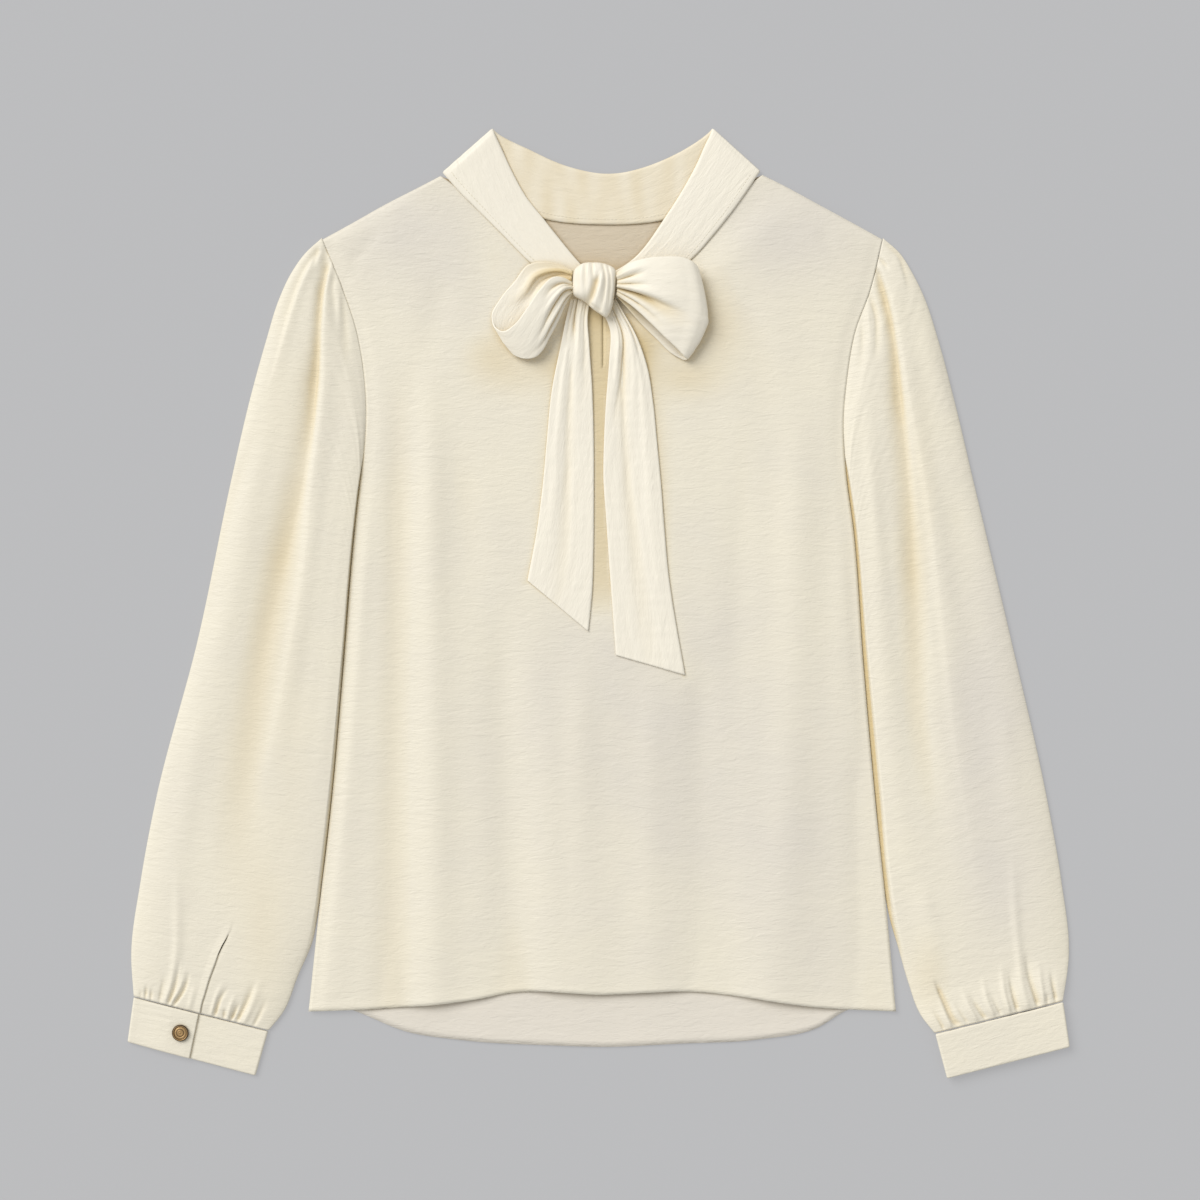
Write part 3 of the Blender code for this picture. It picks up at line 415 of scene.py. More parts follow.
@dataclass(frozen=True)
class Crepe:
    """Washed satin-backed crepe: a fine crinkle along the grain, a soft sheen, painted warm shade in
    hollows and painted cool shade.
    """

    colour: tuple[float, float, float] = (0.82, 0.755, 0.61)
    cool_mottle_and_shade: tuple[float, float, float] = (0.72, 0.665, 0.575)
    hollow_shade: tuple[float, float, float] = (0.67, 0.53, 0.29)
    roughness: float = 0.5
    crinkle: float = 0.9
    crinkle_length: float = 0.0085
    crinkle_pitch: float = 0.0024
    hollow_shade_reach: float = 0.018
    hollow_shade_strength: float = 0.6

    @staticmethod
    def ranged(
        n: Nodes, value: bpy.types.NodeSocket, low: float, high: float, first: float, last: float
    ) -> bpy.types.NodeSocket:
        """Map a value from one range to another, held at its ends.

        Args:
            n: The material's nodes.
            value: The socket to read.
            low: Start of its range.
            high: End of its range.
            first: Result at the start.
            last: Result at the end.

        Returns:
            The mapped socket.
        """
        node = n.add("ShaderNodeMapRange", From_Min=low, From_Max=high, To_Min=first, To_Max=last)
        n.join(value, node.inputs["Value"])
        return node.outputs["Result"]

    def build(self, name: str) -> bpy.types.Material:
        """Make the material; the UV map's first axis runs along the crinkle's lines.

        The colour leans to a cool painted shade where the painted shade is below 0, and also at random
        with a broad noise;
        it leans to a warm painted shade of hollows where the painted shade is above 0 or where a level
        face is closed in by others.
        """
        n = Nodes(name)
        place = n.add("ShaderNodeTexCoord")
        lines = n.add("ShaderNodeMapping")
        lines.inputs["Scale"].default_value = (1 / self.crinkle_length, 1 / self.crinkle_pitch, 1)
        n.join(place.outputs["UV"], lines.inputs["Vector"])
        crinkle = n.add("ShaderNodeTexNoise", Scale=1.0, Detail=3.0, Roughness=0.6, Distortion=1.2)
        n.join(lines.outputs["Vector"], crinkle.inputs["Vector"])
        wide = n.add("ShaderNodeMapping")
        wide.inputs["Scale"].default_value = (0.4 / self.crinkle_length, 0.38 / self.crinkle_pitch, 1)
        wide.inputs["Rotation"].default_value = (0.0, 0.0, 0.07)
        n.join(place.outputs["UV"], wide.inputs["Vector"])
        waves = n.add("ShaderNodeTexNoise", Scale=1.0, Detail=2.0, Roughness=0.5, Distortion=1.2)
        n.join(wide.outputs["Vector"], waves.inputs["Vector"])
        grain = n.add("ShaderNodeTexNoise", Scale=1500.0, Detail=1.0, Roughness=0.5)
        n.join(place.outputs["UV"], grain.inputs["Vector"])
        both = n.add("ShaderNodeMath", operation="MULTIPLY_ADD")
        both.inputs[1].default_value = 1.3
        n.join(waves.outputs["Fac"], both.inputs[0])
        n.join(crinkle.outputs["Fac"], both.inputs[2])
        fine = n.add("ShaderNodeMath", operation="MULTIPLY_ADD")
        fine.inputs[1].default_value = 0.12
        n.join(grain.outputs["Fac"], fine.inputs[0])
        n.join(both.outputs["Value"], fine.inputs[2])
        bump = n.add("ShaderNodeBump", Strength=self.crinkle, Distance=0.0004)
        n.join(fine.outputs["Value"], bump.inputs["Height"])
        n.join(bump.outputs["Normal"], n.shader.inputs["Normal"])
        cloud = n.add("ShaderNodeTexNoise", Scale=14.0, Detail=3.0, Roughness=0.6)
        n.join(place.outputs["UV"], cloud.inputs["Vector"])
        painted = n.add("ShaderNodeAttribute", attribute_name="shade")
        # The cool colour is a random broad mottle, plus painted cool shade where the painted shade
        # attribute is below 0.
        cooled = n.add("ShaderNodeMath", operation="MULTIPLY_ADD")
        cooled.inputs[1].default_value = -1.0
        n.join(painted.outputs["Fac"], cooled.inputs[0])
        n.join(self.ranged(n, cloud.outputs["Fac"], 0.35, 0.75, 0.0, 0.35), cooled.inputs[2])
        tint = n.add("ShaderNodeMix", data_type="RGBA")
        tint.inputs[6].default_value = (*self.colour, 1.0)
        tint.inputs[7].default_value = (*self.cool_mottle_and_shade, 1.0)
        n.join(cooled.outputs["Value"], tint.inputs[0])
        # Painted warm shade: level faces closed in by others lean to the hollow shade colour, as does
        # the painted shade attribute above 0.
        shade = n.add("ShaderNodeAmbientOcclusion", samples=8, Distance=self.hollow_shade_reach)
        deep = self.ranged(n, shade.outputs["AO"], 0.3, 0.85, self.hollow_shade_strength, 0.0)
        geometry = n.add("ShaderNodeNewGeometry")
        facing = n.add("ShaderNodeSeparateXYZ")
        n.join(geometry.outputs["Normal"], facing.inputs[0])
        level = self.ranged(n, facing.outputs["Z"], 0.5, 0.9, 0.1, 1.0)
        hollow_shade = n.add("ShaderNodeMath", operation="MULTIPLY_ADD")
        n.join(deep, hollow_shade.inputs[0])
        n.join(level, hollow_shade.inputs[1])
        n.join(painted.outputs["Fac"], hollow_shade.inputs[2])
        mixed = n.add("ShaderNodeMix", data_type="RGBA")
        mixed.inputs[7].default_value = (*self.hollow_shade, 1.0)
        n.join(hollow_shade.outputs["Value"], mixed.inputs[0])
        n.join(tint.outputs[2], mixed.inputs[6])
        n.join(mixed.outputs[2], n.shader.inputs["Base Color"])
        n.shader.inputs["Roughness"].default_value = self.roughness
        n.shader.inputs["Specular IOR Level"].default_value = 0.35
        n.shader.inputs["Sheen Weight"].default_value = 0.12
        n.shader.inputs["Sheen Roughness"].default_value = 0.4
        return n.material


@dataclass(frozen=True)
class Brass:
    """Antique brass: a dark patina on the rim and in the groove, worn bright in the middle."""

    bright: tuple[float, float, float] = (0.47, 0.30, 0.13)
    middle: tuple[float, float, float] = (0.36, 0.22, 0.09)
    dark: tuple[float, float, float] = (0.05, 0.028, 0.014)
    rings: tuple[tuple[float, str], ...] = (
        (0.0, "middle"), (0.14, "middle"), (0.2, "bright"), (0.36, "middle"), (0.44, "dark"),
        (0.5, "bright"), (0.68, "bright"), (0.75, "dark"), (0.81, "middle"), (0.85, "bright"),
        (0.90, "dark"), (1.0, "dark"),
    )
    radius: float = 6.5

    def build(self, name: str) -> bpy.types.Material:
        """Make the material; the UV map's first axis is the distance from the button's middle."""
        n = Nodes(name)
        place = n.add("ShaderNodeTexCoord")
        spots = n.add("ShaderNodeTexNoise", Scale=900.0, Detail=4.0, Roughness=0.6)
        n.join(place.outputs["Object"], spots.inputs["Vector"])
        parts = n.add("ShaderNodeSeparateXYZ")
        n.join(place.outputs["UV"], parts.inputs[0])
        share = n.add("ShaderNodeMath", operation="MULTIPLY")
        share.inputs[1].default_value = 1000.0 / self.radius
        n.join(parts.outputs["X"], share.inputs[0])
        ramp = n.add("ShaderNodeValToRGB")
        stops = ramp.color_ramp.elements
        for position, _ in self.rings[2:]:
            stops.new(position)
        for stop, (position, colour) in zip(stops, self.rings):
            stop.position = position
            stop.color = (*getattr(self, colour), 1.0)
        n.join(share.outputs["Value"], ramp.inputs[0])
        n.join(ramp.outputs["Color"], n.shader.inputs["Base Color"])
        bump = n.add("ShaderNodeBump", Strength=0.3, Distance=0.0002)
        n.join(spots.outputs["Fac"], bump.inputs["Height"])
        n.join(bump.outputs["Normal"], n.shader.inputs["Normal"])
        n.shader.inputs["Metallic"].default_value = 0.55
        n.shader.inputs["Roughness"].default_value = 0.42
        return n.material


@dataclass(frozen=True)
class Thread:
    """Spun polyester sewing thread in the cloth's colour."""

    colour: tuple[float, float, float] = (0.80, 0.74, 0.60)

    def build(self, name: str) -> bpy.types.Material:
        """Make the material, with a fine twist as bump."""
        n = Nodes(name)
        place = n.add("ShaderNodeTexCoord")
        twist = n.add("ShaderNodeTexNoise", Scale=2500.0, Detail=1.0)
        n.join(place.outputs["Object"], twist.inputs["Vector"])
        bump = n.add("ShaderNodeBump", Strength=0.3, Distance=0.0001)
        n.join(twist.outputs["Fac"], bump.inputs["Height"])
        n.join(bump.outputs["Normal"], n.shader.inputs["Normal"])
        n.shader.inputs["Base Color"].default_value = (*self.colour, 1.0)
        n.shader.inputs["Roughness"].default_value = 0.6
        return n.material


@dataclass
class Body:
    """The front and the back, the front's neck slit, and what their outer faces measure."""

    centre_x: float = 2.3
    slit_foot_y: float = 182.5
    neck_share: float = 0.24
    slit_share: float = 0.32
    loft: float = 3.0
    hem_depth: float = 6.5
    across: int = 84
    along: int = 230
    sides: dict[Side, Plan] = field(default_factory=lambda: {
        Side.LEFT: [
            (-216.1, 283.1), (-200.8, 245.7), (-190.4, 214.5), (-183.8, 176.3), (-182.3, 147.4),
            (-184.9, 111.5), (-190.9, 57.7), (-199.8, -49.9), (-209.3, -157.6), (-219.2, -243.4),
            (-227.0, -318.2),
        ],
        Side.RIGHT: [
            (220.0, 283.1), (209.8, 241.4), (199.1, 212.2), (192.6, 175.1), (189.9, 144.3),
            (191.4, 103.7), (197.3, 57.7), (205.3, -49.9), (214.8, -157.6), (223.6, -243.4),
            (230.5, -318.2),
        ],
    })
    shoulders: dict[Side, Plan] = field(default_factory=lambda: {
        Side.LEFT: [
            (-124.2, 332.6), (-138.1, 325.3), (-167.7, 310.1), (-193.4, 295.6), (-216.1, 283.1),
        ],
        Side.RIGHT: [
            (126.4, 333.4), (142.7, 325.3), (170.8, 310.1), (198.9, 294.8), (220.0, 283.1),
        ],
    })
    necklines: dict[Side, Plan] = field(default_factory=lambda: {
        Side.LEFT: [
            (-124.2, 332.6), (-106.0, 320.0), (-88.0, 306.0), (-50.5, 270.0), (-27.0, 252.5),
            (1.4, 233.0),
        ],
        Side.RIGHT: [
            (126.4, 333.4), (109.0, 320.0), (97.0, 307.0), (70.5, 274.5), (43.0, 253.0),
            (3.2, 233.0),
        ],
    })
    hems: dict[Side, Plan] = field(default_factory=lambda: {
        Side.LEFT: [
            (2.3, -305.0), (-70.5, -303.8), (-95.2, -308.5), (-172.4, -316.0), (-227.0, -318.2),
        ],
        Side.RIGHT: [
            (2.3, -305.0), (78.0, -303.2), (108.3, -306.4), (166.9, -314.7), (230.5, -318.2),
        ],
    })
    back_hem: Plan = field(default_factory=lambda: [
        (-227.0, -318.2), (-193.9, -327.6), (-150.7, -344.6), (-104.5, -351.4), (-30.4, -355.4),
        (0.4, -356.3), (62.1, -353.8), (123.8, -350.5), (170.0, -341.5), (191.6, -328.5),
        (230.5, -318.2),
    ])
    back_neck: Plan = field(default_factory=lambda: [
        (-123.0, 333.4), (-80.0, 317.0), (-40.0, 303.5), (0.0, 300.0), (47.0, 303.0),
        (125.4, 334.2),
    ])
    folds: tuple[Fold, ...] = (
        Fold(((-132.6, 190.0), (-129.5, -75.7), (-127.1, -312.0)), 13.0, 12.0, 2.3, 0.1, 1.0),
        Fold(((-156.0, 180.0), (-159.1, -75.7), (-161.5, -312.0)), 13.0, 11.0, -1.9, 0.1, 1.0),
        Fold(((-75.7, 10.0), (-71.8, -153.7), (-66.0, -308.0)), 17.0, 15.0, -2.2, 0.0, 1.0),
        Fold(((-42.0, -60.0), (-40.0, -170.0), (-38.0, -306.0)), 12.0, 12.0, 0.8, 0.0, 1.0),
        Fold(((-14.8, -28.9), (-14.8, -306.0)), 15.0, 14.0, 1.3, 0.0, 1.0),
        Fold(((39.0, -50.0), (40.0, -180.0), (37.4, -306.0)), 13.0, 12.0, 1.0, 0.0, 0.8),
        Fold(((82.0, -20.0), (79.0, -170.0), (80.3, -306.0)), 20.0, 16.0, -2.1, 0.0, 1.0),
        Fold(((112.3, 160.0), (105.3, -75.7), (99.8, -310.0)), 12.0, 13.0, -0.8, 0.0, 0.8),
        Fold(((153.7, 160.0), (151.8, -50.0), (138.1, -313.0)), 18.0, 17.0, 2.2, 0.1, 1.0),
        Fold(((-183.3, 76.9), (-196.6, -122.5), (-209.8, -300.0)), 11.0, 12.0, 1.4, 0.2, 0.9),
        Fold(((204.0, -100.0), (206.0, -200.0), (209.5, -315.0)), 15.0, 13.0, -1.6, 0.0, 1.0),
        Fold(((186.0, 60.0), (190.0, -60.0), (196.0, -160.0)), 11.0, 9.0, 0.7, 0.0, 0.0),
        Fold(((-110.0, 130.0), (-98.0, 20.0), (-96.0, -80.0)), 14.0, 12.0, -0.7, 0.0, 0.0),
        Fold(((112.0, 250.0), (124.0, 200.0), (128.0, 130.0)), 12.0, 14.0, -0.6, 0.0, 0.0),
        Fold(((-118.0, 262.0), (-132.0, 210.0), (-150.0, 150.0)), 13.0, 12.0, -0.6, 0.0, 0.0),
        Fold(((168.0, 292.0), (186.0, 268.0), (200.0, 250.0)), 5.0, 5.0, -0.5, 0.0, 0.3),
        Fold(((-170.0, 292.0), (-188.0, 270.0), (-198.0, 252.0)), 5.0, 5.0, -0.5, 0.0, 0.3),
    )

    shade_spots: tuple[tuple[float, float, float, float, float], ...] = (
        # Warm shade round the bow.
        (-84.0, 194.0, 20.0, 22.0, 0.42), (-60.0, 178.0, 22.0, 16.0, 0.22),
        (92.0, 216.0, 18.0, 30.0, 0.35), (66.0, 176.0, 26.0, 16.0, 0.4),
        (34.0, 200.0, 14.0, 18.0, 0.7), (-38.0, 186.0, 12.0, 14.0, 0.35),
        (-46.0, 12.0, 22.0, 16.0, 0.22), (62.0, -56.0, 26.0, 18.0, 0.3),
        (-86.0, 268.0, 16.0, 26.0, 0.25), (96.0, 262.0, 18.0, 24.0, 0.2),
        # Painted cool shade on the yoke and the lower right.
        (-150.0, 290.0, 60.0, 44.0, -0.75), (155.0, 290.0, 60.0, 44.0, -0.85),
        (-100.0, 230.0, 40.0, 30.0, -0.2), (150.0, -200.0, 60.0, 120.0, -0.5),
        (-60.0, -150.0, 60.0, 120.0, -0.3), (70.0, -120.0, 60.0, 130.0, -0.6),
        (0.0, -60.0, 80.0, 90.0, -0.35),
    )

    def side_x(self, side: Side, y: np.ndarray) -> np.ndarray:
        """Return the body's edge at height y on one side, shoulder line included."""
        table = np.array(self.shoulders[side][:-1] + self.sides[side])[::-1]
        return np.interp(y, table[:, 1], table[:, 0])

    def below_neck(self, x: np.ndarray, y: np.ndarray) -> np.ndarray:
        """Return the distance down and outwards from the front neckline, straight as drawn."""
        away = {}
        for side, sign in ((Side.LEFT, -1.0), (Side.RIGHT, 1.0)):
            head, foot = np.array(self.necklines[side][0]), np.array(self.necklines[side][-1])
            along = (foot - head) / np.linalg.norm(foot - head)
            away[side] = sign * ((y - head[1]) * along[0] - (x - head[0]) * along[1])
        return np.maximum(np.where(x < self.centre_x, away[Side.LEFT], away[Side.RIGHT]), 0.0)

    def top(self, x: np.ndarray, y: np.ndarray) -> np.ndarray:
        """Return the height of the front's outer face: its loft, its folds and a light ripple."""
        left, right = self.side_x(Side.LEFT, y), self.side_x(Side.RIGHT, y)
        share = np.clip((x - left) / (right - left), 0.0, 1.0)
        edge = smoothstep(np.minimum(x - left, right - x) / 12.0)
        crown = np.sqrt(np.clip(4.0 * share * (1.0 - share), 0.0, 1.0))
        calm = smoothstep((self.below_neck(x, y) - 9.0) / 30.0) * edge
        hem = 1.0 - 0.45 * smoothstep((-240.0 - y) / 70.0)
        waves = 0.10 * ripple(x, y, 11.0, 3) + 0.22 * ripple(y, x, 34.0, 5)
        height = self.loft * crown * hem + relief(x, y, self.folds) + waves
        return np.clip(SEAM_TOP + calm * height, SEAM_TOP - 0.1, 10.0)

    def half(self, side: Side) -> np.ndarray:
        """Lay out one half of the front: a patch whose inner edge is neckline, slit and centre.

        Args:
            side: Which half.

        Returns:
            Rows of plan points from the neck to the hem.
        """
        neckline, hem = curve_through(self.necklines[side]), curve_through(self.hems[side])
        lip = self.necklines[side][-1][0]
        foot = np.array([self.centre_x, self.slit_foot_y])

        def inner(along: np.ndarray) -> np.ndarray:
            """Follow the neckline, then the slit, then the centre line."""
            along = np.asarray(along, dtype=float)
            neck = neckline(np.clip(along / self.neck_share, 0.0, 1.0))
            reach = self.slit_share - self.neck_share
            down = np.clip((along - self.neck_share) / reach, 0.0, 1.0)[..., None]
            slit = (1 - down) * neckline(1.0) + down * foot
            spread = np.sqrt(np.clip(1.0 - down[..., 0], 0.0, 1.0))
            slit[..., 0] = self.centre_x + 0.08 * (lip - self.centre_x) * np.minimum(2.5 * spread, 1.0)
            rest = np.clip((along - self.slit_share) / (1.0 - self.slit_share), 0.0, 1.0)[..., None]
            centre = (1 - rest) * foot + rest * hem(0.0)
            below = along[..., None]
            lower = np.where(below <= self.slit_share, slit, centre)
            return np.where(below <= self.neck_share, neck, lower)

        surface = patch(
            curve_through(self.shoulders[side]), hem, inner, curve_through(self.sides[side])
        )
        neck_rows = int(self.along * self.neck_share)
        slit_rows = int(self.along * (self.slit_share - self.neck_share))
        along = np.concatenate([
            np.linspace(0.0, self.neck_share, neck_rows, endpoint=False),
            np.linspace(self.neck_share, self.slit_share, slit_rows, endpoint=False),
            np.linspace(self.slit_share, 1.0, self.along - neck_rows - slit_rows),
        ])
        across = np.linspace(0.0, 1.0, self.across)
        return surface(*np.meshgrid(across, along))

    def shade(self, x: np.ndarray, y: np.ndarray) -> np.ndarray:
        """Return the front's painted warm and cool shade.

        It is painted warm shade between the tie's tails, close beside them and in its own troughs; the
        yoke and the lower right get painted cool shade.
        """
        left, right = np.array(TAILS[Side.LEFT])[::-1], np.array(TAILS[Side.RIGHT])[::-1]
        from_left = x - np.interp(y, left[:, 3], left[:, 2])
        to_right = np.interp(y, right[:, 1], right[:, 0]) - x
        along = smoothstep((y + 40.0) / 60.0) * smoothstep((236.0 - y) / 6.0)
        between = smoothstep(from_left / 3.0 + 0.5) * smoothstep(to_right / 3.0 + 0.5) * along
        beyond = x - np.interp(y, right[:, 3], right[:, 2])
        beside = np.exp(-np.maximum(beyond, 0.0) / 5.0) * (beyond > -3.0) * (y > -60.0) * (y < 225.0)
        before = np.interp(y, left[:, 1], left[:, 0]) - x
        near = np.exp(-np.maximum(before, 0.0) / 4.0) * (before > -3.0) * (y > 15.0) * (y < 225.0)
        trough_shade = np.clip(-relief(x, y, self.folds) / 3.0, 0.0, 1.0)
        painted_warm_shade = 0.8 * between + 0.5 * beside + 0.25 * near + 0.25 * trough_shade
        return np.clip(painted_warm_shade + spots(x, y, self.shade_spots), -0.9, 1.0)

    def hem_line(self, inset: float) -> np.ndarray:
        """Return plan points along the front hem, from the left to the right, inset from it."""
        share = np.linspace(0.0, 1.0, 300)
        left = curve_through(self.hems[Side.LEFT])(share)[::-1]
        right = curve_through(self.hems[Side.RIGHT])(share)
        line = np.concatenate([left, right[1:]])
        line[:, 1] += inset
        keep = (line[:, 0] > self.side_x(Side.LEFT, line[:, 1]) + 2.0)
        keep &= line[:, 0] < self.side_x(Side.RIGHT, line[:, 1]) - 2.0
        return line[keep]

    def front(self) -> bpy.types.Object:
        """Build the front: two halves joined below the slit, with a turned-up hem pressed in."""
        upper, lower, uv, shade, quads, count = [], [], [], [], [], 0
        for side in Side:
            plan = self.half(side)
            rows, columns = plan.shape[:2]
            top = self.top(plan[..., 0], plan[..., 1])
            foot = plan[-1:, :, 1]
            inset = plan[..., 1] - foot
            turned = smoothstep((self.hem_depth + 0.6 - inset) / 1.2)
            groove = np.exp(-(((inset - self.hem_depth) / 0.9) ** 2))
            top = top + 0.35 * turned - 0.35 * groove
            upper.append(np.dstack([plan, top]).reshape(-1, 3))
            lower.append(np.dstack([plan, top - SHELL]).reshape(-1, 3))
            uv.append((plan * MM).reshape(-1, 2))
            shade.append(self.shade(plan[..., 0], plan[..., 1]).reshape(-1))
            faces = grid_quads(rows, columns) + count
            quads.append(faces if side is Side.LEFT else faces[:, ::-1])
            count += rows * columns
        return shell_object(
            "blouse_front", np.concatenate(upper), np.concatenate(lower), np.concatenate(uv),
            np.concatenate(quads), np.concatenate(shade),
        )

    def back(self) -> bpy.types.Object:
        """Build the back: a patch from neck to hem, flat underneath, its inside face upwards."""
        share = np.linspace(0.0, 1.0, 60)
        edges = {}
        for side in Side:
            line = np.concatenate([
                curve_through(self.shoulders[side])(share),
                curve_through(self.sides[side])(share)[1:],
            ])
            edges[side] = curve_through(line[::3])
        surface = patch(
            curve_through(self.back_neck), curve_through(self.back_hem),
            edges[Side.LEFT], edges[Side.RIGHT],
        )
        grid = np.meshgrid(np.linspace(0.0, 1.0, 110), np.linspace(0.0, 1.0, 150))
        plan = surface(*grid)
        x, y = plan[..., 0], plan[..., 1]
        inset = y - plan[-1:, :, 1]
        turned = smoothstep((9.0 - inset) / 1.5)
        at_neck = smoothstep((self.centre_x + 40.0 - np.abs(x)) / 60.0) * (y > 150.0)
        loose = smoothstep((-290.0 - y) / 25.0) + at_neck
        waves = 0.16 * ripple(x, y, 9.0, 11)
        waves = waves + 0.5 * ripple(y, x, 60.0, 12) * smoothstep((-300.0 - y) / 30.0)
        top = BACK_TOP - 0.15 + 0.3 * turned + np.clip(loose, 0.0, 1.0) * waves
        upper = np.dstack([plan, np.clip(top, 0.9, 1.95)])
        lower = np.dstack([plan, np.zeros(x.shape)])
        # Painted warm shade on the back's inside face towards the neck opening.
        shade = 0.6 * smoothstep((y - 120.0) / 60.0)
        return shell_object("blouse_back", upper, lower, plan * MM, grid_quads(*x.shape), shade)


@dataclass
class Sleeve:
    """A gathered sleeve: a flattened tube, open at the armhole and at the cuff.

    tuck gives, for heights in the plan, how far from its inner edge the sleeve lies low beside
    the body before its upper layer rolls up, and there it is painted with warm shade. slit is the path
    of the cuff's opening, if it is on top, and the shade spots are spots of painted warm and cool
    shade.
    """

    side: Side
    inner: Plan
    outer: Plan
    head: Plan
    cuff: Plan
    tuck: Plan
    slit: Plan
    shade_spots: tuple[tuple[float, float, float, float, float], ...]
    folds: tuple[Fold, ...]
    lift: float = 0.0
    columns: int = 160
    under: int = 22
    rows: int = 236
    hidden_slit_rows: int = 23
    slit_lift: float = 0.7
    low: float = -1.3
    roll_radius: float = 1.3
    grain: float = 8.8
    puff: tuple[tuple[float, float], ...] = (
        (0.0, 2.9), (0.012, 4.3), (0.04, 6.4), (0.12, 7.2), (0.5, 7.4), (0.85, 7.2), (0.94, 6.4),
        (0.985, 5.2), (1.0, 4.2),
    )
    edge_radius: float = 1.45
    edge_round: float = 0.8

    def surface(self) -> Callable[..., np.ndarray]:
        """Return the sleeve's plan as a patch between its two folds, its head and its cuff."""
        sewn_in, tucked_in = 0.45, -0.15
        towards = np.array([sewn_in if self.side is Side.LEFT else -sewn_in, 0.0])
        foot = curve_through([
            (self.cuff[1][0], self.cuff[1][1] + tucked_in),
            (self.cuff[0][0], self.cuff[0][1] + tucked_in),
        ])
        head, inner = np.array(self.head), np.array(self.inner)
        return patch(
            curve_through(head + towards), foot, curve_through(inner + towards),
            curve_through(self.outer),
        )

    def steer(
        self, surface: Callable[..., np.ndarray], over: np.ndarray, along: np.ndarray
    ) -> tuple[np.ndarray, int]:
        """Bend the grid's columns so that the slit's one runs along the slit's path.

        Each row's shares are stretched on both sides of the column; the bend comes in slowly
        above the slit.

        Args:
            surface: The sleeve's plan.
            over: Shares of the upper layer's columns, row by row.
            along: Shares of the rows.

        Returns:
            The new shares and the slit's first row.
        """
        if not self.slit:
            return over, self.rows - self.hidden_slit_rows
        column = self.slit_column()
        path = np.array(self.slit)[::-1]
        shares = np.linspace(0.0, 1.0, 301)
        plan = surface(*np.meshgrid(shares, along))
        beyond = plan[..., 0] - np.interp(plan[..., 1], path[:, 1], path[:, 0])
        crossing = np.argmin(np.abs(beyond), axis=1)
        wanted = shares[crossing]
        rows = np.arange(len(along))
        first = int(np.argmax(plan[rows, crossing, 1] < self.slit[0][1]))
        wanted = np.where(rows < first, wanted[first], wanted)
        wanted[first:] = np.convolve(np.pad(wanted[first:], 3, mode="edge"), np.ones(7) / 7, "valid")
        usual = over[:, column]
        bend = smoothstep((rows - 0.55 * first) / (0.45 * first))
        target = usual + (wanted - usual) * bend
        below = over * (target / usual)[:, None]
        above = 1.0 - (1.0 - over) * ((1.0 - target) / (1.0 - usual))[:, None]
        return np.where(np.arange(over.shape[1]) <= column, below, above), first

    def lip(self, shape: tuple[int, int], first: int) -> np.ndarray:
        """Raise the slit's overlapping side over its last columns, and press down the other.

        Args:
            shape: Rows and columns of the grid.
            first: The slit's first row.

        Returns:
            Heights to add.
        """
        lift = np.zeros(shape)
        if self.slit:
            column = self.slit_column()
            rise = smoothstep((np.arange(shape[0]) - first + 6.0) / 9.0)[:, None]
            away = np.arange(1, 7)[None, :]
            lift[:, column + 1 : column + 7] = self.slit_lift * rise * (1.0 - away / 7.0)
            lift[:, column - 3 : column + 1] = -0.3 * rise * np.array([[0.2, 0.5, 0.8, 1.0]])
        return lift

    def ring(self) -> tuple[np.ndarray, np.ndarray, np.ndarray, int]:
        """Work out the tube's outer face.

        Each ring runs over the top and back underneath. Its edges are half rounds; from them the
        top rises to the puff's height as 1 - exp(-distance / 10), with the folds added.

        Returns:
            The grid of points, its UV pairs, its painted warm and cool shade, and the slit's first row.
        """
        surface = self.surface()
        even = np.linspace(0.0, 1.0, self.rows)
        along = (even - 0.06 * np.sin(2 * np.pi * even))[:, None]
        width = np.linalg.norm(
            curve_through(self.outer)(along[:, 0]) - curve_through(self.inner)(along[:, 0]), axis=1
        )[:, None]
        near = self.edge_round * np.array([0.0, 0.15, 0.5, 1.0])[None, :] / width
        step = 3.2 / width
        middle = step + (1 - 2 * step) * np.linspace(0.0, 1.0, self.columns - 8)[None, :]
        over = np.concatenate([near, middle, 1.0 - near[:, ::-1]], axis=1)
        over, first = self.steer(surface, over, along[:, 0])
        below = step + (1 - 2 * step) * np.linspace(1.0, 0.0, self.under - 6)[None, :]
        below = np.concatenate([1.0 - near[:, 1:], below, near[:, :0:-1]], axis=1)
        share = np.concatenate([over, below], axis=1)
        length = np.repeat(along, share.shape[1], axis=1)
        plan = surface(share, length)
        distance = np.minimum(share, 1.0 - share) * width
        bite = np.clip(1.0 - distance / self.edge_round, 0.0, 1.0)
        half = self.edge_radius * np.sqrt(1.0 - bite**2)
        swell = np.interp(along, *np.array(self.puff).T) - SEAM_TOP
        rise = 1.0 - np.exp(-distance / 10.0)
        x, y = plan[..., 0], plan[..., 1]
        folds = relief(x, y, self.folds)
        folds *= np.interp(length, [0.0, 0.012, 0.992, 1.0], [0.25, 1.0, 1.0, 0.25])
        across = share * width
        down = length * 620.0
        waves = 0.10 * ripple(across, down, 11.0, 21) + 0.20 * ripple(down, across, 30.0, 22)
        puff = self.roll(share * width, y, swell * rise, swell)
        puff = puff + (folds + waves) * np.clip(distance / 8.0, 0.0, 1.0) ** 0.7
        puff = puff + self.lip(share.shape, first)
        top = self.edge_radius + half + np.maximum(puff, -1.3)
        is_top = np.arange(share.shape[1]) < over.shape[1]
        flat = self.edge_radius - half
        floor = self.lift * smoothstep((along - 0.93) / 0.06)
        height = np.where(is_top[None, :], top, flat) + floor
        turn = np.radians(self.grain) * (-1.0 if self.side is Side.LEFT else 1.0)
        lines = x * np.cos(turn) + y * np.sin(turn)
        uv = np.dstack([lines, y * np.cos(turn) - x * np.sin(turn)]) * MM
        heights, widths = np.array(self.tuck)[::-1].T
        tucked = np.interp(y, heights, widths)
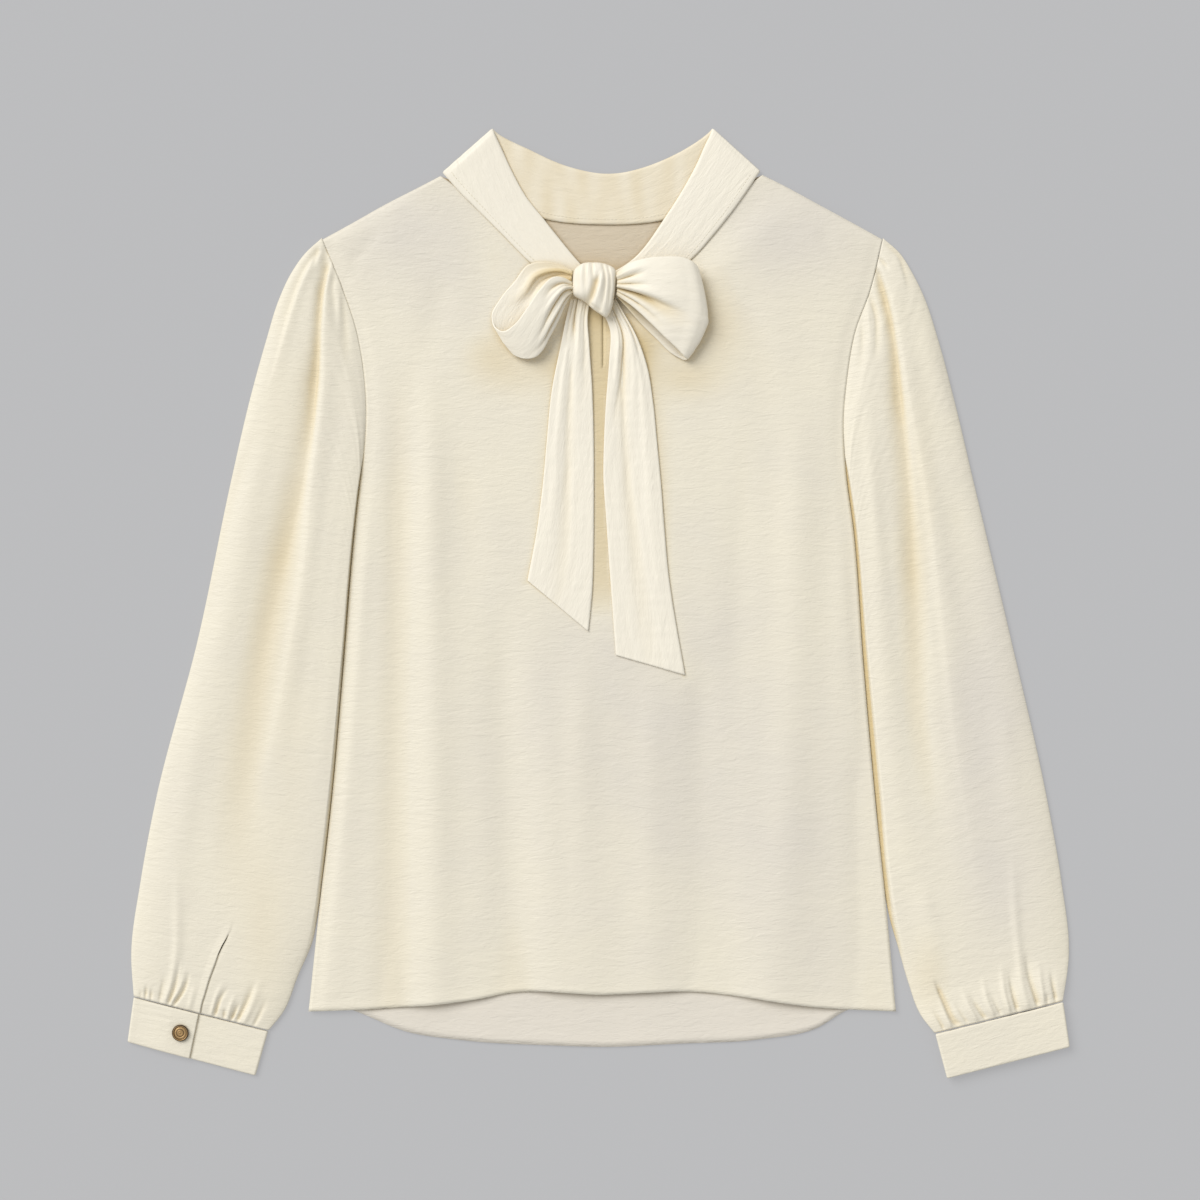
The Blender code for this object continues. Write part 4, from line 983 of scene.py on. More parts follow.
        # Painted warm shade in the low strip beside the body and in the folds' troughs, plus the
        # painted shade spots.
        low = smoothstep((tucked + 0.8 - share * width) / 2.2) * smoothstep(tucked / 3.0)
        trough_shade = np.clip(-folds / 3.0, 0.0, 1.0) ** 1.3
        shade = 0.95 * low + 0.5 * trough_shade + spots(x, y, self.shade_spots)
        return np.dstack([plan, height]), uv, np.clip(shade, -0.9, 1.0) * is_top[None, :], first

    def roll(
        self, inside: np.ndarray, y: np.ndarray, plain_rise: np.ndarray, swell: np.ndarray
    ) -> np.ndarray:
        """Lower the sleeve beside the body, up to its tuck, and let it roll up from there.

        Args:
            inside: Distance from the inner edge.
            y: Plan positions.
            plain_rise: The height without the tuck.
            swell: The full height of the puff.

        Returns:
            Heights above the seam.
        """
        heights, widths = np.array(self.tuck)[::-1].T
        width = np.interp(y, heights, widths)
        crest = 0.75 * swell
        beyond = np.maximum(inside - width, 0.0)
        turn = np.sqrt(1.0 - np.clip(1.0 - beyond / self.roll_radius, 0.0, 1.0) ** 2)
        rolled = self.low + (crest - self.low) * turn
        rolled = rolled + (swell - crest) * (1.0 - np.exp(-beyond / 14.0))
        share = smoothstep(width / 3.0)
        return np.where(inside < 60.0, share * rolled + (1 - share) * plain_rise, plain_rise)

    def build(self) -> bpy.types.Object:
        """Build the sleeve, its slit opened down one column above the cuff."""
        outside, uv, shade, first = self.ring()
        inside = outside - SHELL * sheet_normals(outside, wrap=True) * self.outward(outside)
        rows, around = outside.shape[:2]
        quads = grid_quads(rows, around, wrap=True)
        column = self.slit_column()
        length = rows - first
        old = np.arange(first, rows) * around + column
        new = rows * around + np.arange(length)
        beyond = quads[:, 0] % around == column
        swap = np.arange(rows * around + length)
        swap[old] = new
        quads[beyond] = swap[quads[beyond]]
        ahead = outside[first:, column + 1, :2] - outside[first:, column - 1, :2]
        ahead /= np.linalg.norm(ahead, axis=1, keepdims=True)
        share = np.linspace(0.0, 1.0, length)[:, None]
        apart = np.zeros((length, 3))
        if self.slit:
            open_top = np.sin(np.pi * np.clip(share / 0.28, 0.0, 1.0))
            overlap = 0.7 * smoothstep((share - 0.22) / 0.15)
            apart[:, :2] = (0.4 * open_top - overlap) * ahead
            apart[:, 2:] = (self.slit_lift + 0.3) * smoothstep(share / 0.08)
        else:
            apart[:, :2] = 0.45 * np.sin(np.pi * share) ** 0.5 * ahead
        sheets = []
        for grid in (outside, inside):
            points = grid.reshape(-1, 3).copy()
            twins = points[old] + apart
            points[old, :2] -= apart[:, :2]
            sheets.append(np.concatenate([points, twins]))
        pairs, looks = uv.reshape(-1, 2), shade.reshape(-1)
        return shell_object(
            f"blouse_sleeve_{self.side.value}", *sheets, np.concatenate([pairs, pairs[old]]), quads,
            np.concatenate([looks, looks[old]]),
        )

    def slit_column(self) -> int:
        """Return the grid column of the slit, on top if it has a path there, else underneath."""
        if self.slit:
            return int(self.columns * 0.49)
        return self.columns + self.under // 2

    def outward(self, grid: np.ndarray) -> float:
        """Return 1 or -1 so that the grid's normals times it point out of the tube."""
        normal = sheet_normals(grid, wrap=True)
        return 1.0 if normal[len(grid) // 2, self.columns // 2, 2] > 0 else -1.0


@dataclass
class Cuff:
    """A buttoned cuff: one stiffened strip wound round the wrist, its ends overlapping."""

    side: Side
    corners: Plan
    lift: float = 0.0
    cloth: float = 1.5
    gap: float = 0.3
    overlap_end: float = 0.486
    down: int = 40

    def section(self) -> np.ndarray:
        """Return the strip's middle line across the cuff: (distance from its outer side, height)."""
        width = float(np.linalg.norm(np.subtract(self.corners[1], self.corners[0])))
        layer = self.cloth + self.gap
        back, front, radius = self.cloth / 2, self.cloth / 2 + layer, layer / 2
        edge = radius + self.cloth / 2
        angle = np.radians(np.linspace(90.0, -90.0, 9))
        turn = np.column_stack([np.cos(angle), np.sin(angle)]) * radius
        right = turn + (width - edge, back + radius)
        left = turn[::-1] * (-1.0, 1.0) + (edge, back + radius)
        rows = np.concatenate([
            [(0.31 * width, front), (0.5 * width, front), (0.8 * width, front)], right,
            [(0.7 * width, back), (0.3 * width, back)], left,
            [(0.06 * width, front + 0.15), (0.12 * width, front + 0.55)],
            [(0.2 * width, front + 1.2), (0.29 * width, front + layer)],
            [(0.44 * width, front + layer)],
            [(self.overlap_end * width, front + layer - 0.25)],
        ])
        steps = np.concatenate([[0.0], np.cumsum(np.linalg.norm(np.diff(rows, axis=0), axis=1))])
        fine = np.unique(np.concatenate([steps, np.linspace(0.0, steps[-1], 240)]))
        keep = np.concatenate([[True], np.diff(fine) > 0.05])
        return np.column_stack([np.interp(fine[keep], steps, column) for column in rows.T])

    def place(self, share: np.ndarray, down: np.ndarray) -> np.ndarray:
        """Return plan points at shares of the cuff's width and depth."""
        outer_top, inner_top, inner_foot, outer_foot = (np.array(c) for c in self.corners)
        top = outer_top + share[..., None] * (inner_top - outer_top)
        foot = outer_foot + share[..., None] * (inner_foot - outer_foot)
        return top + down[..., None] * (foot - top)

    def stack(self) -> float:
        """Return the height of the three layers."""
        return 3 * self.cloth + 2 * self.gap

    def build(self) -> bpy.types.Object:
        """Build the cuff, softly padded between its edges, with a ridge along both of them."""
        line = self.section()
        width = float(np.linalg.norm(np.subtract(self.corners[1], self.corners[0])))
        share, down = np.meshgrid(line[:, 0] / width, np.linspace(0.0, 1.0, self.down), indexing="ij")
        height = np.repeat(line[:, 1:2], self.down, axis=1)
        depth = down * 35.0
        slack = 0.12 * ripple(share * width, depth, 7.0, 31 + len(self.side.value))
        calm = smoothstep(np.minimum(depth, 35.0 - depth) / 4.0)
        run = np.arange(len(line))[:, None] / len(line)
        ends = smoothstep(run / 0.06) * smoothstep((1 - run) / 0.06)
        height = height + slack * calm * ends * (line[:, 1:2] > self.cloth)
        if self.side is Side.RIGHT:
            height = self.stack() - height
        plan = self.place(share, down)
        middle = np.dstack([plan, height + self.lift])
        rim = np.clip(np.minimum(depth, 35.0 - depth) / 0.75, 0.0, 1.0)
        thick = self.cloth / 2 * (0.35 + 0.65 * np.sqrt(1.0 - (1.0 - rim) ** 2))
        tip = np.clip(np.minimum(run, 1 - run) / 0.004, 0.0, 1.0)
        offset = sheet_normals(middle) * (thick * (0.5 + 0.5 * tip))[..., None]
        along = np.concatenate([[0.0], np.cumsum(np.linalg.norm(np.diff(line, axis=0), axis=1))])
        uv = np.dstack([np.repeat(along[:, None], self.down, axis=1), depth]) * MM
        return shell_object(
            f"blouse_cuff_{self.side.value}", middle + offset, middle - offset, uv,
            grid_quads(*share.shape),
        )


@dataclass
class Button:
    """A round antique metal button with a raised rim and a plain ringed middle."""

    cuff: Cuff
    radius: float = 6.5
    height: float = 2.5
    around: int = 72
    profile: tuple[tuple[float, float], ...] = (
        (0.0, 0.0), (5.2, 0.0), (5.9, 0.25), (6.4, 0.8), (6.5, 1.3), (6.35, 1.9), (6.0, 2.35),
        (5.6, 2.5), (5.25, 2.4), (5.0, 2.0), (4.85, 1.55), (4.6, 1.4), (4.3, 1.6), (4.0, 1.78),
        (3.4, 1.82), (3.1, 1.62), (2.8, 1.62), (2.5, 1.84), (1.6, 1.95), (1.2, 1.8), (0.8, 1.82),
        (0.4, 2.0), (0.0, 2.05),
    )

    def build(self) -> bpy.types.Object:
        """Turn the profile: each row is a ring, and the two rows on the axis are closing points."""
        middle = self.cuff.place(np.array(0.385), np.array(0.49))
        radii, heights = np.array(self.profile).T
        foot = self.cuff.stack() + self.cuff.gap
        if self.cuff.side is Side.RIGHT:
            radii, heights, foot = radii[::-1], self.height - heights[::-1], 0.0
        angle = np.linspace(0.0, 2 * np.pi, self.around, endpoint=False)
        grid = np.stack([
            middle[0] + radii[:, None] * np.cos(angle), middle[1] + radii[:, None] * np.sin(angle),
            foot + np.repeat(heights[:, None], self.around, axis=1),
        ], axis=-1)
        rings = grid[1:-1].reshape(-1, 3)
        count = len(rings)
        points = np.concatenate([rings, grid[0, :1], grid[-1, :1]])
        quads = grid_quads(len(radii) - 2, self.around, wrap=True)
        here = np.arange(self.around)
        after = np.roll(here, -1)
        last = count - self.around
        lower = np.stack([np.full_like(here, count), after, here], axis=1)
        upper = np.stack([np.full_like(here, count + 1), last + here, last + after], axis=1)
        halves = np.concatenate([quads[:, [0, 1, 2]], quads[:, [0, 2, 3]]])
        faces = np.concatenate([halves, lower, upper])
        spoke = np.linalg.norm(points[:, :2] - middle, axis=1)
        uv = np.column_stack([spoke, points[:, 2]]) * MM
        return mesh_object(f"cuff_button_{self.cuff.side.value}", points, faces, uv)


@dataclass
class Strip:
    """A doubled strip of the tie or the band, as sections from edge to edge along its length."""

    name: str
    rows: list[tuple[float, ...]]
    creases: tuple[tuple[float, ...], ...] = ()
    thickness: float = 1.4
    along: int = 150
    across: int = 40
    seed: int = 41
    slack: float = 0.15

    def middle(self) -> np.ndarray:
        """Work out the strip's middle face.

        Each section lies half way between a parabola and straight lines through its three points
        in plan, and on the parabola in height.
        """
        rows = curve_through(self.rows)(np.linspace(0.0, 1.0, self.along))
        first, mid, last = rows[:, None, 0:3], rows[:, None, 3:6], rows[:, None, 6:9]
        t = np.linspace(0.0, 1.0, self.across)[None, :, None]
        curved = (1 - t) * (1 - 2 * t) * first + 4 * t * (1 - t) * mid + t * (2 * t - 1) * last
        straight = np.where(t < 0.5, first + 2 * t * (mid - first), mid + (2 * t - 1) * (last - mid))
        half_way = 0.5 * (curved + straight)
        return np.dstack([half_way[..., :2], curved[..., 2]])

    def build(
        self, base: np.ndarray | None = None, shade: np.ndarray | float = 0.0
    ) -> bpy.types.Object:
        """Build the strip as a shell with rounded edges and its creases pressed in.

        A crease is (place across and along at its start, at its end, its half widths towards the
        first and the last edge as shares of the strip's width, height in millimetres).

        Args:
            base: The middle face, if it isn't the one of the sections.
            shade: Painted shade of the grid, to which the painted warm shade of the creases' troughs is
                added.

        Returns:
            The new object.
        """
        base = self.middle() if base is None else base
        across_run = np.cumsum(
            np.linalg.norm(np.diff(base, axis=1, prepend=base[:, :1]), axis=2), axis=1
        )
        along_run = np.cumsum(
            np.linalg.norm(np.diff(base, axis=0, prepend=base[:1]), axis=2), axis=0
        )
        t = np.linspace(0.0, 1.0, self.across)[None, :]
        s = np.linspace(0.0, 1.0, self.along)[:, None]
        normal = sheet_normals(base)
        wanted = 1.0 if self.top_normal(normal) > 0 else -1.0
        depth = self.slack * ripple(along_run, across_run, 8.0, self.seed)
        depth *= np.clip(np.minimum(t, 1 - t) * 8.0, 0.0, 1.0)
        for t0, s0, t1, s1, before, after, height in self.creases:
            place = np.clip((s - s0) / (s1 - s0), 0.0, 1.0)
            fade = smoothstep(1.5 * (1 - place)) * smoothstep((s - s0) / (s1 - s0) * 12 + 1)
            centre = t0 + (t1 - t0) * place
            inside = ((s - s0) / (s1 - s0) > -0.08) & ((s - s0) / (s1 - s0) < 1.0)
            width = np.where(t < centre, before, after) * (0.55 + 0.9 * place)
            bell = np.exp(-(((t - centre) / width) ** 2))
            depth = depth + height * bell * fade * inside
        middle = base + normal * (wanted * depth)[..., None]
        edge = np.minimum(across_run, across_run[:, -1:] - across_run)
        bite = np.clip(1.0 - edge / 0.7, 0.0, 1.0)
        half = self.thickness / 2 * (0.25 + 0.75 * np.sqrt(1.0 - bite**2))
        offset = sheet_normals(middle) * half[..., None]
        uv = np.dstack([along_run, across_run]) * MM
        # Painted warm shade in the creases' troughs, added to the given painted shade.
        crease_shade = np.clip(shade + 0.5 * np.clip(-depth / 2.6, 0.0, 1.0), -0.9, 1.0)
        return shell_object(
            self.name, middle + offset, middle - offset, uv, grid_quads(*base.shape[:2]), crease_shade
        )

    @staticmethod
    def top_normal(normal: np.ndarray) -> float:
        """Return the z part of the normal early on the strip, where its outer face is up."""
        return float(normal[normal.shape[0] // 6, normal.shape[1] // 2, 2])


@dataclass
class Knot:
    """The knot: a rounded lump of wrapped cloth, its pleats running down over it."""

    outline: Plan
    folds: tuple[Fold, ...]
    levels: tuple[tuple[float, float], ...] = (
        (8.0, 0.0), (8.0, 0.55), (8.4, 0.75), (9.4, 0.9), (11.0, 0.98), (13.0, 1.0), (15.5, 0.985),
        (17.8, 0.93), (19.4, 0.83), (20.6, 0.68), (21.3, 0.5), (21.7, 0.3), (21.9, 0.0),
    )
    around: int = 160

    def build(self) -> bpy.types.Object:
        """Stack outlines of changing size, and press the pleats into the upper ones."""
        outline = curve_through(self.outline, closed=True)
        ring = outline(np.linspace(0.0, 1.0, self.around, endpoint=False))
        middle = ring.mean(axis=0)
        levels = curve_through([(z, 12.0 * size) for z, size in self.levels])
        z, size = levels(np.linspace(0.0, 1.0, 90)).T
        size = np.clip(size / 12.0, 0.002, 1.0)
        plan = middle + size[:, None, None] * (ring[None] - middle)
        folds = relief(plan[..., 0], plan[..., 1], self.folds)
        upper = smoothstep((z - 10.0) / 6.0)[:, None]
        height = z[:, None] + folds * upper
        grid = np.dstack([plan, height])
        rings = grid.reshape(-1, 3)
        count = len(rings)
        quads = grid_quads(len(z), self.around, wrap=True)
        halves = np.concatenate([quads[:, [0, 1, 2]], quads[:, [0, 2, 3]]])
        here = np.arange(self.around)
        after = np.roll(here, -1)
        last = count - self.around
        lower = np.stack([np.full_like(here, count), after, here], axis=1)
        upper_cap = np.stack([np.full_like(here, count + 1), last + here, last + after], axis=1)
        points = np.concatenate([rings, grid[:1].mean(axis=1), grid[-1:].mean(axis=1)])
        faces = np.concatenate([halves, lower, upper_cap])
        uv = points[:, [1, 0]] * MM
        # Painted warm shade in the pleats' troughs on the knot's upper part.
        crease_shade = 0.4 * np.clip(-folds * upper / 3.0, 0.0, 1.0).reshape(-1)
        return mesh_object("bow_knot_wrap", points, faces, uv, np.concatenate([crease_shade, [0.0, 0.0]]))


@dataclass
class Stitching:
    """Rows of straight stitches: short spindles of thread, joined into one mesh."""

    pitch: float = 3.0
    length: float = 2.3
    radius: float = 0.22

    def row(self, path: np.ndarray) -> tuple[np.ndarray, np.ndarray]:
        """Lay stitches along a path of 3-D points.

        Args:
            path: Points on the cloth's face.

        Returns:
            Points and triangles of the row.
        """
        run = np.concatenate([[0.0], np.cumsum(np.linalg.norm(np.diff(path, axis=0), axis=1))])
        starts = np.arange(self.pitch, run[-1] - self.pitch, self.pitch)
        head = np.stack([np.interp(starts, run, column) for column in path.T], axis=1)
        tail = np.stack([np.interp(starts + self.length, run, c) for c in path.T], axis=1)
        ahead = tail - head
        side = np.cross(ahead, [0.0, 0.0, 1.0])
        side /= np.linalg.norm(side, axis=1, keepdims=True)
        shares, sizes = np.array([0.15, 0.5, 0.85]), np.array([0.8, 1.0, 0.8])
        angle = np.radians([0.0, 60.0, 120.0, 180.0, 270.0])
        rings = (
            head[:, None, None] + shares[None, :, None, None] * ahead[:, None, None]
            + self.radius * sizes[None, :, None, None] * (
                np.cos(angle)[None, None, :, None] * side[:, None, None]
                + np.sin(angle)[None, None, :, None] * np.array([0.0, 0.0, 1.0])
            )
        )
        count = len(angle)
        points = np.concatenate([rings.reshape(len(head), -1, 3), head[:, None], tail[:, None]], axis=1)
        here = np.arange(count)
        after = np.roll(here, -1)
        quads = grid_quads(3, count, wrap=True)
        faces = np.concatenate([
            quads[:, [0, 1, 2]], quads[:, [0, 2, 3]],
            np.stack([np.full(count, 3 * count), after, here], axis=1),
            np.stack([np.full(count, 3 * count + 1), 2 * count + here, 2 * count + after], axis=1),
        ])
        each = points.shape[1]
        every = faces[None] + each * np.arange(len(head))[:, None, None]
        return points.reshape(-1, 3), every.reshape(-1, 3)

    def build(self, name: str, paths: Sequence[np.ndarray]) -> bpy.types.Object:
        """Join several rows into one piece."""
        points, faces, count = [], [], 0
        for path in paths:
            some, triangles = self.row(path)
            points.append(some)
            faces.append(triangles + count)
            count += len(some)
        every = np.concatenate(points)
        return mesh_object(name, every, np.concatenate(faces)[:, ::-1], every[:, :2] * MM)


@dataclass
class Studio:
    """The pale floor, soft light from the upper left, and a camera straight above."""

    view_width: float = 0.936
    view_centre: tuple[float, float] = (0.0014, 0.0022)
    lens: float = 85.0
    sensor: float = 36.0
    floor_colour: tuple[float, float, float] = (0.16, 0.16, 0.16)
    floor_glow: float = 0.335

    def floor(self) -> bpy.types.Object:
        """Build the floor: a wide square just under the cloth, lit from below to soften shadows."""
        n = Nodes("paper")
        place = n.add("ShaderNodeTexCoord")
        tooth = n.add("ShaderNodeTexNoise", Scale=300.0, Detail=2.0)
        n.join(place.outputs["Object"], tooth.inputs["Vector"])
        bump = n.add("ShaderNodeBump", Strength=0.05, Distance=0.0002)
        n.join(tooth.outputs["Fac"], bump.inputs["Height"])
        n.join(bump.outputs["Normal"], n.shader.inputs["Normal"])
        n.shader.inputs["Base Color"].default_value = (*self.floor_colour, 1.0)
        n.shader.inputs["Roughness"].default_value = 0.9
        n.shader.inputs["Emission Color"].default_value = (0.98, 0.98, 1.0, 1.0)
        n.shader.inputs["Emission Strength"].default_value = self.floor_glow
        size = 4000.0
        corners = np.array([[-size, -size], [size, -size], [size, size], [-size, size]])
        points = np.column_stack([corners, np.full(4, -0.4)])
        piece = mesh_object("floor", points, np.array([[0, 1, 2, 3]]), corners * MM)
        piece.data.materials.append(n.material)
        return piece

    def sun(self, name: str, towards: tuple[float, float, float], width: float, power: float) -> None:
        """Add a distant round light, so that the floor is evenly lit.

        Args:
            name: Its name.
            towards: The direction in which it stands.
            width: Its angle across, in degrees.
            power: Its strength.
        """
        lamp = bpy.data.lights.new(name, "SUN")
        lamp.angle = np.radians(width)
        lamp.energy = power
        holder = bpy.data.objects.new(name, lamp)
        direction = np.array(towards) / np.linalg.norm(towards)
        holder.rotation_euler = (
            np.arccos(direction[2]), 0.0, np.arctan2(direction[1], direction[0]) + np.pi / 2
        )
        bpy.context.scene.collection.objects.link(holder)

    def camera(self) -> None:
        """Add the camera, far enough for its frame to take in the view's width."""
        data = bpy.data.cameras.new("camera")
        data.lens = self.lens
        data.sensor_width = self.sensor
        holder = bpy.data.objects.new("camera", data)
        holder.location = (*self.view_centre, self.view_width * self.lens / self.sensor)
        bpy.context.scene.collection.objects.link(holder)
        bpy.context.scene.camera = holder

    def build(self) -> None:
        """Set the whole studio up."""
        self.camera()
        self.floor()
        self.sun("key", (-0.66, 0.62, 0.86), 40.0, 2.25)
        world = bpy.data.worlds.new("room")
        world.use_nodes = True
        world.node_tree.nodes["Background"].inputs["Color"].default_value = (0.96, 0.98, 1.0, 1.0)
        world.node_tree.nodes["Background"].inputs["Strength"].default_value = 0.55
        bpy.context.scene.world = world
        bpy.context.scene.view_settings.view_transform = "Standard"


